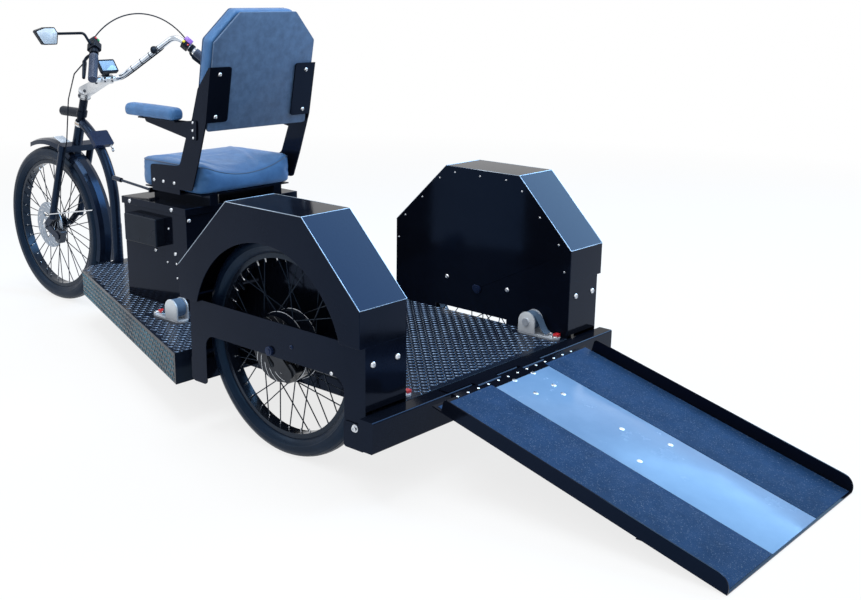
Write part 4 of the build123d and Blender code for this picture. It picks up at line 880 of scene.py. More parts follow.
@dataclass
class FrameDress:
    """Finishes and eased edges of the CAD nodes."""

    edge: float = 1.1
    weld: float = 0.02
    sharp: float = 40.0
    finishes: dict[Finish, str] = field(default_factory=lambda: {
        Coat.SHEET: "frame_rails cross_members rear_crossbeam wheelhouse_inner_plates wheelhouse_covers"
        " wheelhouse_guards seat_box seat_box_lid seat_base seat_arms armrest_supports deck_hinge ramp",
        Coat.TREAD: "front_platform rear_deck",
        Coat.TUBE: "head_frame seat_lever fork mudguard",
        Coat.NAVY: "key_box rear_axles",
        Coat.PLASTIC: "battery_pack controller_box riser brake_levers switch_pods display mirror headlamp",
        Coat.VINYL: "seat_cushion seat_back armrest_pads",
        Coat.GALVANISED: "tie_downs",
        Coat.BLACK_STEEL: "rear_calipers rear_left_rotor rear_right_rotor",
        Coat.DARK_STEEL: "front_caliper",
        Coat.STEEL: "front_axle",
        Coat.ALLOY: "stem",
        Coat.CHROME: "handlebar",
        Coat.GRIP: "grips",
        Coat.RUBBER: "control_cable brake_hose ramp_feet",
        Coat.ZINC: "mudguard_stays",
        Coat.ROTOR: "front_rotor",
        Coat.TYRE: "front_tyre rear_left_tyre rear_right_tyre",
        Coat.RIM: "front_wheel rear_left_wheel rear_right_wheel",
    })
    eased: str = (
        "rear_crossbeam front_platform rear_deck wheelhouse_inner_plates wheelhouse_covers wheelhouse_guards seat_box"
        " seat_box_lid seat_base seat_arms armrest_supports ramp key_box stem switch_pods display tie_downs"
        " cross_members frame_rails"
    )

    def build(self) -> None:
        """Gives every node its finish and eases the edges of sheet nodes."""
        for finish, names in self.finishes.items():
            for name in names.split():
                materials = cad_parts[name].data.materials
                materials.clear()
                materials.append(finish.material())
        for name in self.eased.split():
            self.ease(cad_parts[name])

    def ease(self, node: bpy.types.Object) -> None:
        """Rounds the sharp edges of one node, so that they catch the light.

        Args:
            node: The node.
        """
        weld = node.modifiers.new("weld", "WELD")
        weld.merge_threshold = self.weld * MM
        bevel = node.modifiers.new("ease", "BEVEL")
        bevel.width = self.edge * MM
        bevel.segments = 2
        bevel.limit_method = "ANGLE"
        bevel.angle_limit = math.radians(self.sharp)
        for face in node.data.polygons:
            face.use_smooth = True
        node.modifiers.new("normals", "WEIGHTED_NORMAL")


@dataclass(frozen=True)
class Ring:
    """One level of a padded form: how far in from the outline, and how far along the form."""

    inset: float
    level: float


class Form:
    """Outlines of padded forms, in millimetres.

    ROOM is the share of a side that a rounded corner may take, and ARC is the number of steps in a corner.
    """

    ROOM = 0.48
    ARC = 5

    @staticmethod
    def inset(corners: Sequence[Vector], by: float) -> list[Vector]:
        """Moves the sides of a convex outline inward.

        Args:
            corners: Corners in order, anticlockwise, as flat vectors.
            by: How far the sides move.

        Returns:
            The new corners.
        """
        count = len(corners)
        ways = [(corners[(k + 1) % count] - corners[k]).normalized() for k in range(count)]
        moved = []
        for k in range(count):
            before, after = ways[k - 1], ways[k]
            inward = Vector((-before.y, before.x)) + Vector((-after.y, after.x))
            moved.append(corners[k] + inward * (by / (1 + before.dot(after))))
        return moved

    @classmethod
    def rounded(cls, corners: Sequence[Vector], radius: float, run: int = 12) -> list[Vector]:
        """Rounds the corners of an outline and divides its sides.

        Args:
            corners: Corners in order.
            radius: Radius of the corners.
            run: Steps in a side.

        Returns:
            Points all round.
        """
        count = len(corners)
        bends = []
        for k, corner in enumerate(corners):
            back, ahead = corners[k - 1] - corner, corners[(k + 1) % count] - corner
            room = min(back.length, ahead.length) * cls.ROOM
            back, ahead = back.normalized(), ahead.normalized()
            half = math.acos(max(-1.0, min(1.0, back.dot(ahead)))) / 2
            cut = min(radius / math.tan(half), room)
            first, last = corner + back * cut, corner + ahead * cut
            shares = [step / cls.ARC for step in range(cls.ARC + 1)]
            bends.append([first * (1 - t) ** 2 + corner * (2 * t * (1 - t)) + last * t * t for t in shares])
        points = []
        for k, bend in enumerate(bends):
            start, end = bend[-1], bends[(k + 1) % count][0]
            points += bend + [start.lerp(end, step / run) for step in range(1, run)]
        return points


@dataclass(frozen=True)
class Stuffing:
    """Swells a closed form as stuffed vinyl, held along its seams. Sizes are in millimetres.

    The voxel is the size of the even faces, the cap is how far a point may move, and the reach is how near to a seam
    a point is held.
    """

    voxel: float = 6.0
    cap: float = 8.0
    reach: float = 7.0
    pressure: float = 4.0
    frames: int = 20
    quality: int = 5
    smoothing: float = 0.5
    smooth_rounds: int = 3

    def swollen(self, mesh: Mesh, seams: Sequence[Vector]) -> Mesh:
        """Puffs a form up by cloth pressure.

        Args:
            mesh: The closed form.
            seams: Points that hold the cloth.

        Returns:
            The swollen mesh, smoothed and divided once.
        """
        holder = linked("even", mesh)
        remesh = holder.modifiers.new("even", "REMESH")
        remesh.mode = "VOXEL"
        remesh.voxel_size = self.voxel * MM
        holder = linked("stuffed", evaluated(holder))
        self.inflate(holder, seams)
        smooth = holder.modifiers.new("smooth", "SMOOTH")
        smooth.factor = self.smoothing
        smooth.iterations = self.smooth_rounds
        finer = holder.modifiers.new("finer", "SUBSURF")
        finer.levels = 1
        return evaluated(holder)

    def inflate(self, holder: bpy.types.Object, seams: Sequence[Vector]) -> None:
        """Runs the cloth and moves the mesh's own points by its result.

        Args:
            holder: The object with the even mesh.
            seams: Points that hold the cloth.
        """
        scene, even, cap = bpy.context.scene, holder.data, self.cap * MM
        tree = kdtree.KDTree(len(seams))
        for number, point in enumerate(seams):
            tree.insert(point, number)
        tree.balance()
        held = holder.vertex_groups.new(name="seams")
        for vertex in even.vertices:
            if tree.find(vertex.co)[2] < self.reach * MM:
                held.add([vertex.index], 1.0, "REPLACE")
        cloth = holder.modifiers.new("cloth", "CLOTH")
        settings = cloth.settings
        settings.use_pressure = True
        settings.uniform_pressure_force = self.pressure
        settings.effector_weights.gravity = 0.0
        settings.vertex_group_mass = "seams"
        settings.quality = self.quality
        cloth.point_cache.frame_start = 1
        cloth.point_cache.frame_end = self.frames
        for number in range(1, self.frames + 1):
            scene.frame_set(number)
        graph = bpy.context.evaluated_depsgraph_get()
        places = [vertex.co.copy() for vertex in holder.evaluated_get(graph).data.vertices]
        scene.frame_set(1)
        holder.modifiers.remove(cloth)
        for vertex, place in zip(even.vertices, places):
            step = place - vertex.co
            if step.length > cap:
                step *= cap / step.length
            vertex.co += step


@dataclass
class Seat:
    """Cushion, back and armrest pads of slate vinyl, with welts and a covered board behind the back."""

    soft: Stuffing = Stuffing()
    firm: Stuffing = Stuffing(voxel=4.5, cap=3.0, reach=6.0)
    cushion_rear: float = 754.0
    cushion_front: float = 1110.0
    cushion_half: float = 220.0
    cushion_bottom: float = 656.5
    cushion_top: float = 766.0
    cushion_round: float = 42.0
    cushion_least_round: float = 8.0
    cushion_run: int = 20
    dish_depth: float = 46.0
    dish_half: float = 186.0
    dish_length: float = 330.0
    cushion_rings: tuple[Ring, ...] = (
        Ring(150, 0.0), Ring(70, 0.0), Ring(22, 0.0), Ring(9, 0.02), Ring(5, 0.08), Ring(3, 0.3), Ring(3, 0.6),
        Ring(5, 0.82), Ring(9, 0.9), Ring(16, 0.955), Ring(28, 0.985), Ring(52, 1.0), Ring(95, 1.0), Ring(150, 1.0),
    )
    cushion_seam: Ring = Ring(7.5, 0.87)
    cushion_fill: float = 0.75
    back_rear: float = 695.0
    back_bottom: float = 880.0
    back_lean: float = 10.9
    back_round: float = 16.0
    back_corners: tuple[Pair, ...] = ((-231, 0), (231, 0), (231, 312), (128, 415), (-128, 415), (-231, 312))
    back_rings: tuple[Ring, ...] = (
        Ring(110, 19), Ring(40, 19), Ring(14, 19), Ring(7, 20.5), Ring(4, 25), Ring(3, 38), Ring(3, 53),
        Ring(5, 61), Ring(10, 67), Ring(20, 72), Ring(38, 75), Ring(70, 76.5), Ring(110, 77),
    )
    back_seam: Ring = Ring(7, 64)
    back_fill: float = 0.7
    board: Ring = Ring(5.0, 0.2)
    board_round: float = 12.0
    board_depth: float = 8.5
    board_edge: float = 2.8
    core: Ring = Ring(13, 8.0)
    core_round: float = 10.0
    core_depth: float = 10.2
    pad_rear: float = 805.0
    pad_front: float = 1093.0
    pad_middle: float = 258.0
    pad_half: float = 28.5
    pad_bottom: float = 917.8
    pad_round: float = 20.0
    pad_least_round: float = 6.0
    pad_round_fall: float = 0.6
    pad_rings: tuple[Ring, ...] = (
        Ring(15, 0), Ring(7, 0.4), Ring(3.5, 3), Ring(1.5, 11), Ring(1, 22), Ring(2.5, 31), Ring(6, 37.5),
        Ring(12, 41.5), Ring(20, 43.2),
    )
    pad_seam: Ring = Ring(4, 3)
    pad_fill: float = 0.8
    welt: float = 2.1

    def build(self) -> None:
        """Makes all padded pieces of the seat."""
        self.make_cushion()
        self.make_back()
        self.make_pads()

    def cover(self, name: str, mesh: Mesh, node: str, fill: float) -> None:
        """Adds one padded piece in place of a CAD node.

        Args:
            name: The piece's name.
            mesh: Its mesh.
            node: The node that it stands for.
            fill: How full it is stuffed; not used.
        """
        piece = add_piece(name, mesh, Coat.VINYL, CHASSIS, [node], "vinyl", 180)

    def add_welt(self, name: str, seam: Sequence[Vector]) -> None:
        """Adds the piping along a seam."""
        add_piece(name, tube(seam, self.welt, sides=8, closed=True), Coat.PIPING, CHASSIS, slot="vinyl")

    def cushion_place(self, flat: Vector, level: float) -> Vector:
        """Point of the cushion, whose top is dished towards its rear edge.

        Args:
            flat: Place in plan, ahead and left.
            level: Share of the cushion's height at that place.

        Returns:
            The point in the frame.
        """
        across = max(0.0, 1 - (flat.y / self.dish_half) ** 2)
        fade = max(0.0, min(1.0, (self.cushion_rear + self.dish_length - flat.x) / self.dish_length))
        top = self.cushion_top - self.dish_depth * across * fade
        return at(flat.x, flat.y, self.cushion_bottom + (top - self.cushion_bottom) * level)

    def cushion_ring(self, ring: Ring) -> list[Vector]:
        """Points of the cushion at one ring.

        Args:
            ring: The ring, whose level is a share of the height.

        Returns:
            The points in the frame.
        """
        rear, front, half = self.cushion_rear, self.cushion_front, self.cushion_half
        corners = [Vector((rear, -half)), Vector((front, -half)), Vector((front, half)), Vector((rear, half))]
        radius = max(self.cushion_least_round, self.cushion_round - ring.inset)
        flat = Form.rounded(Form.inset(corners, ring.inset), radius, run=self.cushion_run)
        return [self.cushion_place(point, ring.level) for point in flat]

    def make_cushion(self) -> None:
        """Makes the dished seat cushion with a welt round its top."""
        seam = self.cushion_ring(self.cushion_seam)
        form = loft([self.cushion_ring(ring) for ring in self.cushion_rings])
        held = seam + self.cushion_ring(self.cushion_rings[2]) + self.cushion_ring(self.cushion_rings[1])
        self.cover("cushion_cover", self.soft.swollen(form, held), "seat_cushion", self.cushion_fill)
        self.add_welt("cushion_welt", seam)

    def back_place(self, flat: Vector, level: float) -> Vector:
        """Point of the leaning back.

        Args:
            flat: Place across and up the back.
            level: Distance in front of its rear face.

        Returns:
            The point in the frame.
        """
        lean = math.radians(self.back_lean)
        ahead = level * math.cos(lean) - flat.y * math.sin(lean)
        rise = level * math.sin(lean) + flat.y * math.cos(lean)
        return at(self.back_rear + ahead, flat.x, self.back_bottom + rise)

    def back_ring(self, ring: Ring, radius: float) -> list[Vector]:
        """Points of the back at one ring, whose level is a distance from the rear face, with rounded corners."""
        flat = Form.rounded(Form.inset([Vector(corner) for corner in self.back_corners], ring.inset), radius)
        return [self.back_place(point, ring.level) for point in flat]

    @property
    def back_ahead(self) -> Vector:
        """One millimetre straight out of the back's front face."""
        return self.back_place(Vector((0, 0)), 1.0) - self.back_place(Vector((0, 0)), 0.0)

    def make_back(self) -> None:
        """Makes the back cushion and the covered board behind it, a dark gap apart."""
        seam = self.back_ring(self.back_seam, self.back_round)
        rings = [self.back_ring(ring, self.back_round) for ring in self.back_rings]
        held = seam + [point for ring in rings[1:4] for point in ring]
        self.cover("back_cushion", self.soft.swollen(loft(rings), held), "seat_back", self.back_fill)
        self.add_welt("back_welt", seam)
        outline = self.back_ring(self.board, self.board_round)
        board = prism(outline, self.back_ahead * self.board_depth, self.board_edge)
        add_piece("back_board", board, Coat.PANEL, CHASSIS, slot="vinyl", angle=30)
        core = prism(self.back_ring(self.core, self.core_round), self.back_ahead * self.core_depth)
        add_piece("back_board_edge", core, Coat.RUBBER, CHASSIS, slot="black_rubber")

    def pad_ring(self, ring: Ring, side: int) -> list[Vector]:
        """Points of one armrest pad at one ring.

        Args:
            ring: The ring, whose level is a height above the pad's foot.
            side: Left or right.

        Returns:
            The points in the frame.
        """
        rear, front, middle = self.pad_rear, self.pad_front, self.pad_middle * side
        low, high = middle - self.pad_half, middle + self.pad_half
        corners = [Vector((rear, low)), Vector((front, low)), Vector((front, high)), Vector((rear, high))]
        radius = max(self.pad_least_round, self.pad_round - ring.inset * self.pad_round_fall)
        flat = Form.rounded(Form.inset(corners, ring.inset), radius)
        return [at(point.x, point.y, self.pad_bottom + ring.level) for point in flat]

    def make_pads(self) -> None:
        """Makes both armrest pads as one piece."""
        halves = []
        for side in SIDES:
            form = loft([self.pad_ring(ring, side) for ring in self.pad_rings])
            held = self.pad_ring(self.pad_seam, side) + self.pad_ring(self.pad_rings[0], side)
            halves.append(self.firm.swollen(form, held))
        self.cover("armrest_covers", joined(halves), "armrest_pads", self.pad_fill)


@dataclass(frozen=True)
class Panel:
    """One flat sheet that carries tread: its origin, its two ways and its outline along them."""

    origin: Vector
    along: Vector
    across: Vector
    outline: tuple[Pair, ...]
    bare: tuple[Box, ...] = ()

    def inside(self, u: float, v: float, margin: float) -> bool:
        """Tells whether a place lies on the sheet, clear of its edges and of what stands on it.

        Args:
            u: Millimetres along.
            v: Millimetres across.
            margin: Millimetres to keep from edges.

        Returns:
            Whether a lozenge fits there.
        """
        for (u0, v0), (u1, v1) in zip(self.outline, (*self.outline[1:], self.outline[0])):
            length = math.hypot(u1 - u0, v1 - v0)
            if ((u1 - u0) * (v - v0) - (v1 - v0) * (u - u0)) / length < margin:
                return False
        return not any(
            low_u - margin < u < high_u + margin and low_v - margin < v < high_v + margin
            for low_u, low_v, high_u, high_v in self.bare
        )


@dataclass
class TreadPlate:
    """Raised lozenges on the decks and on the platform's skirts."""

    cell: float = 19.0
    margin: float = 9.0
    length: float = 22.0
    width: float = 7.6
    height: float = 2.0
    sunk: float = 0.05
    deck_z: float = 239.0
    deck: tuple[Pair, ...] = ((-388, -403), (433, -403), (433, 403), (-388, 403))
    platform: tuple[Pair, ...] = ((433, -592), (1595, -183), (1640, -107), (1640, 107), (1595, 183), (433, 592))
    skirt: float = 105.0
    deck_bare: tuple[Box, ...] = ((-374, 350, -208, 400), (-374, -400, -208, -350), (-402, -277, -380, 277))
    platform_bare: tuple[Box, ...] = (
        (790, -258, 1160, 258), (687, 331, 853, 381), (687, -381, 853, -331), (1585, -26, 1640, 26),
    )
    lozenge_outline: tuple[Pair, ...] = (
        (1.0, 0.0), (0.62, 0.62), (0.0, 1.0), (-0.62, 0.62), (-1.0, 0.0), (-0.62, -0.62), (0.0, -1.0), (0.62, -0.62),
    )
    lozenge_levels: tuple[Pair, ...] = ((1.0, 0.0), (0.72, 0.85), (0.4, 1.0))

    def build(self) -> None:
        """Makes one piece of lozenges for the deck, one for the platform and one for its skirts."""
        flat = at(0, 0, self.deck_z)
        deck = Panel(flat, AHEAD, LEFT, self.deck, self.deck_bare)
        platform = Panel(flat, AHEAD, LEFT, self.platform, self.platform_bare)
        for name, panels, finish in (
            ("deck_lozenges", [deck], Coat.CROWN),
            ("platform_lozenges", [platform], Coat.CROWN),
            ("skirt_lozenges", self.skirts(), Coat.SKIRT),
        ):
            spots = [spot for panel in panels for spot in self.spots(panel)]
            mesh = Scatter.mesh(spots, self.lozenge(), finish)
            add_piece(name, mesh, finish, CHASSIS, slot="tread_plate", angle=60)

    def skirts(self) -> list[Panel]:
        """Upright sheets round the platform, apart from its rear.

        Returns:
            One panel for each side.
        """
        panels = []
        for (x0, y0), (x1, y1) in zip(self.platform, self.platform[1:]):
            start, end = at(x0, y0, self.deck_z), at(x1, y1, self.deck_z)
            length = (end - start).length / MM
            outline = ((0, -self.skirt), (length, -self.skirt), (length, 0), (0, 0))
            panels.append(Panel(start, (end - start).normalized(), UP, outline))
        return panels

    def spots(self, panel: Panel) -> list[Spot]:
        """Places of the lozenges on one sheet, turned by a quarter from one to the next.

        Args:
            panel: The sheet.

        Returns:
            One spot for each lozenge.
        """
        low_u, high_u = (pick(u for u, _ in panel.outline) for pick in (min, max))
        low_v, high_v = (pick(v for _, v in panel.outline) for pick in (min, max))
        facing = panel.along.cross(panel.across)
        spots = []
        for i in range(int((high_u - low_u) / self.cell) + 1):
            for j in range(int((high_v - low_v) / self.cell) + 1):
                u, v = low_u + (i + 0.5) * self.cell, low_v + (j + 0.5) * self.cell
                if panel.inside(u, v, self.margin):
                    way = panel.along + panel.across * (1 if (i + j) % 2 else -1)
                    place = panel.origin + (panel.along * u + panel.across * v) * MM
                    spots.append(Spot(place - facing * self.sunk * MM, facing, way))
        return spots

    def lozenge(self) -> Mesh:
        """Makes one lozenge at the origin, with its length along x and z facing out.

        Returns:
            The mesh.
        """
        rings = []
        for share, rise in self.lozenge_levels:
            long, wide, high = self.length / 2 * share * MM, self.width / 2 * share * MM, rise * self.height * MM
            rings.append([Vector((x * long, y * wide, high)) for x, y in self.lozenge_outline])
        return loft(rings)


@dataclass
class HouseEdgeHighlights:
    """Painted highlights on the wheel-houses' folded sheets: thin bright tubes where the folds and rims catch the
    light.
    """

    rims: Pair = (403.6, 590.4)
    radius: float = 1.3
    outline: tuple[Pair, ...] = ((392.5, 540), (156, 764.5), (-166, 764.5), (-387.5, 540))

    def build(self) -> None:
        """Makes the highlight tubes along both rims and across the folds of both houses."""
        routes = []
        for side in SIDES:
            routes += [[at(x, side * rim, z) for x, z in self.outline] for rim in self.rims]
            routes += [[at(x, side * rim, z) for rim in self.rims] for x, z in self.outline]
        parts = [tube(route, self.radius, sides=8, curved=False) for route in routes]
        add_piece("house_edges", joined(parts), Coat.EDGE_HIGHLIGHT, CHASSIS, slot="black_sheet")


class Facing(Enum):
    """Ways that the heads of fasteners face."""

    OUT = "away from the middle line"
    IN = "to the middle line"
    BACK = "to the rear"


@dataclass(frozen=True)
class BoltRow:
    """Equal fasteners on one plane, on both sides of the trike.

    The plane is a distance from the middle line and the places are ahead and up. On heads that face back, the plane is
    a distance ahead and the places are from the middle line and up.
    """

    plane: float
    size: float
    places: tuple[Pair, ...]
    facing: Facing = Facing.OUT
    head: Fastener = Fastener.BUTTON
    finish: Finish = Coat.ZINC

    def mesh(self) -> Mesh:
        """Makes the heads.

        Returns:
            One mesh.
        """
        spots = []
        for side in SIDES:
            for place, up in self.places:
                if self.facing is Facing.BACK:
                    spots.append(Spot(at(self.plane, side * place, up), -AHEAD, size=self.size))
                else:
                    out = LEFT * (side if self.facing is Facing.OUT else -side)
                    spots.append(Spot(at(place, side * self.plane, up), out, size=self.size))
        return self.head.set_on(spots, self.finish)


@dataclass
class Fasteners:
    """Bolts and rivets of the frame, the houses, the seat box and the seat."""

    seat: Seat
    # Guard, house rear, arms, armrest hinges, box, its screws, lid, box rear, inner plates, lug, axle and guard cap
    rows: tuple[BoltRow, ...] = (
        BoltRow(569.0, 1.2, ((-257, 331),)),
        BoltRow(-388.0, 1.9, ((441, 380), (540, 380)), Facing.BACK),
        BoltRow(239.0, 1.3, ((990, 689), (935, 689), (872, 690))),
        BoltRow(244.0, 0.95, ((747, 914), (749, 887), (747, 862))),
        BoltRow(258.0, 0.9, ((907, 400), (855, 401), (854, 348), (893, 525))),
        BoltRow(258.0, 1.5, ((974, 435), (858, 437))),
        BoltRow(264.0, 1.6, ((1113, 598), (862, 598))),
        BoltRow(790.0, 1.5, ((246, 567),), Facing.BACK),
        BoltRow(403.0, 1.7, ((142, 362), (-131, 361)), Facing.IN),
        BoltRow(403.0, 1.25, (
            (380, 472), (349, 560), (267, 638), (185, 717), (115, 744), (2, 743), (-111, 743), (-179, 713),
            (-257, 634), (-337, 553), (-364, 465),
        ), Facing.IN, Fastener.RIVET),
        BoltRow(572.3, 1.3, ((-352, 194),), head=Fastener.WASHERED),
        BoltRow(403.0, 1.5, ((12, 342),), Facing.IN, Fastener.DISC, Coat.NAVY),
        BoltRow(569.0, 1.3, ((-93, 372),), finish=Coat.NAVY),
    )
    flange_bolts: tuple[Pair, ...] = ((196, 204), (200, 58))
    flange_depth: float = -5.0
    flange_size: float = 1.45

    def build(self) -> None:
        """Makes all bolts and rivets of the chassis as one piece."""
        behind = -self.seat.back_ahead.normalized()
        flats = [Vector((side * across, rise)) for side in SIDES for across, rise in self.flange_bolts]
        places = [self.seat.back_place(flat, self.flange_depth) for flat in flats]
        flange = Fastener.BUTTON.set_on([Spot(place, behind, size=self.flange_size) for place in places], Coat.ZINC)
        parts = [flange, *(row.mesh() for row in self.rows)]
        add_piece("frame_fasteners", joined(parts), Coat.ZINC, CHASSIS, slot="zinc_steel")


@dataclass
class LacedWheel:
    """Tyre, spokes, nipples, valve and rotor trim of one wheel."""

    name: str
    x: float
    y: float
    out: int
    rotor: float
    flange: float
    cross: float
    flange_y: float = 24.0
    flange_ring: tuple[Pair, ...] = ((22.8, 0.0), (23.2, 0.9), (25.0, 0.9), (25.4, 0.0))
    spokes: int = 36
    spoke_inset: float = 3.0
    spoke_radius: float = 1.9
    spoke_shift: float = 1.3
    spoke_form: tuple[Pair, ...] = ((0.0, 0.8), (0.02, 1.0), (0.98, 1.0), (1.0, 0.8))
    radius: float = 340.0
    rim: float = 267.0
    nipple_sunk: float = 0.4
    nipple_form: tuple[Pair, ...] = ((0.0, 3.4), (1.2, 3.2), (1.6, 2.3), (10.0, 2.0), (11.5, 1.4))
    valve_turn: float = 35.0
    valve_form: tuple[Pair, ...] = (
        (0.0, 4.2), (2.0, 4.0), (3.0, 2.6), (20.0, 2.6), (20.4, 3.6), (29.0, 3.4), (30.0, 2.4),
    )
    rotor_bolts: int = 6
    rotor_bolt_radius: float = 20.0
    rotor_bolt_size: float = 0.55
    swirls: int = 18
    swirl_steps: int = 6
    swirl_turns: Pair = (6.0, 32.0)
    swirl_radii: Pair = (71.5, 98.5)
    swirl_section: tuple[Pair, ...] = ((-1.5, -0.1), (1.5, -0.1), (1.2, 0.3), (-1.2, 0.3))
    tyre_steps: int = 112
    tyre_section: tuple[Pair, ...] = (
        (19.0, 281.0), (23.0, 283.2), (26.5, 287.0), (30.5, 293.5), (33.0, 300.0), (33.4, 302.0), (34.3, 302.6),
        (34.6, 304.0), (34.4, 305.4), (34.8, 311.0), (35.0, 316.5), (34.0, 321.5), (32.0, 326.0), (29.2, 330.0),
        (28.6, 331.8), (27.4, 332.4), (26.4, 331.9), (25.2, 333.4), (21.0, 335.9), (20.2, 334.6), (18.6, 334.6),
        (17.8, 337.3), (10.4, 339.3), (9.7, 337.9), (8.1, 337.9), (7.4, 339.7), (0.0, 340.0),
    )

    def build(self) -> None:
        """Makes the wheel's pieces on its body."""
        body = f"{self.name}_wheel_set"
        mirrored = [(-half, radius) for half, radius in reversed(self.tyre_section[:-1])]
        tyre = lathe((*self.tyre_section, *mirrored), self.centre, LEFT, self.tyre_steps, closed=True)
        add_piece(f"{self.name}_road_tyre", tyre, Coat.TYRE, body, [f"{self.name}_tyre"], "road_tyre", 50)
        add_piece(f"{self.name}_wheel_fittings", self.fittings(), Coat.ZINC, body, slot="zinc_steel")
        add_piece(f"{self.name}_lacing", self.lacing(), Coat.RIM, body, slot="black_wheel")

    @property
    def centre(self) -> Vector:
        """Middle of the wheel."""
        return at(self.x, self.y, self.radius)

    def fittings(self) -> Mesh:
        """Makes nipples, valve, the rotor's swirls and bolts, and a bright ring on each hub flange.

        Returns:
            One mesh.
        """
        nipples = []
        for number, turn in enumerate(circle(self.spokes)):
            out, side = upright(turn), 1 if number % 2 else -1
            place = self.centre + out * (self.rim + self.nipple_sunk) * MM + LEFT * side * self.spoke_inset * MM
            nipples.append(Spot(place, -out, LEFT))
        valve_out = upright(math.radians(self.valve_turn))
        valve = lathe(self.valve_form, self.centre + valve_out * self.rim * MM, -valve_out, steps=12)
        face = LEFT * self.out
        middle = self.centre + face * self.rotor * MM
        swirls = [Spot(middle, face, upright(turn)) for turn in circle(self.swirls)]
        seats = [middle + upright(turn) * self.rotor_bolt_radius * MM for turn in circle(self.rotor_bolts)]
        parts = [
            Scatter.mesh(nipples, lathe(self.nipple_form, Vector(), UP, steps=6), Coat.ZINC),
            painted(valve, Coat.RUBBER),
            Scatter.mesh(swirls, self.swirl(), Coat.ZINC),
            Fastener.BUTTON.set_on([Spot(seat, face, size=self.rotor_bolt_size) for seat in seats], Coat.ZINC),
        ]
        for side in SIDES:
            ring = [(side * place, self.flange + rise) for place, rise in self.flange_ring]
            parts.append(painted(lathe(ring, self.centre, LEFT, steps=64, closed=True), Coat.STEEL))
        return joined(parts)

    def lacing(self) -> Mesh:
        """Makes the spokes, which lean forward and back in turn, from one flange and then the other.

        Returns:
            One mesh.
        """
        spots, length = [], 0.0
        hole, nipple = self.flange - self.spoke_inset, self.rim + self.spoke_inset
        for number, turn in enumerate(circle(self.spokes)):
            side, lead = 1 if number % 2 else -1, 1 if number % 4 < 2 else -1
            hub = turn + math.radians(lead * self.cross)
            start = upright(hub) * hole + LEFT * side * (self.flange_y + lead * self.spoke_shift)
            finish = upright(turn) * nipple + LEFT * side * self.spoke_inset
            spots.append(Spot(self.centre + start * MM, (finish - start).normalized(), LEFT))
            length = (finish - start).length
        rod = [(share * length, size * self.spoke_radius) for share, size in self.spoke_form]
        return Scatter.mesh(spots, lathe(rod, Vector(), UP, steps=8), Coat.RIM)

    def swirl(self) -> Mesh:
        """Makes one bright ground swirl of the rotor's track, with z facing out.

        Returns:
            The mesh.
        """
        (first, last), (inner, outer) = self.swirl_turns, self.swirl_radii
        rings = []
        for step in range(self.swirl_steps + 1):
            share = step / self.swirl_steps
            turn = math.radians(first + (last - first) * share)
            way = Vector((math.cos(turn), math.sin(turn), 0))
            middle, side = way * (inner + (outer - inner) * share), UP.cross(way)
            rings.append([(middle + side * across + UP * rise) * MM for across, rise in self.swirl_section])
        return loft(rings)


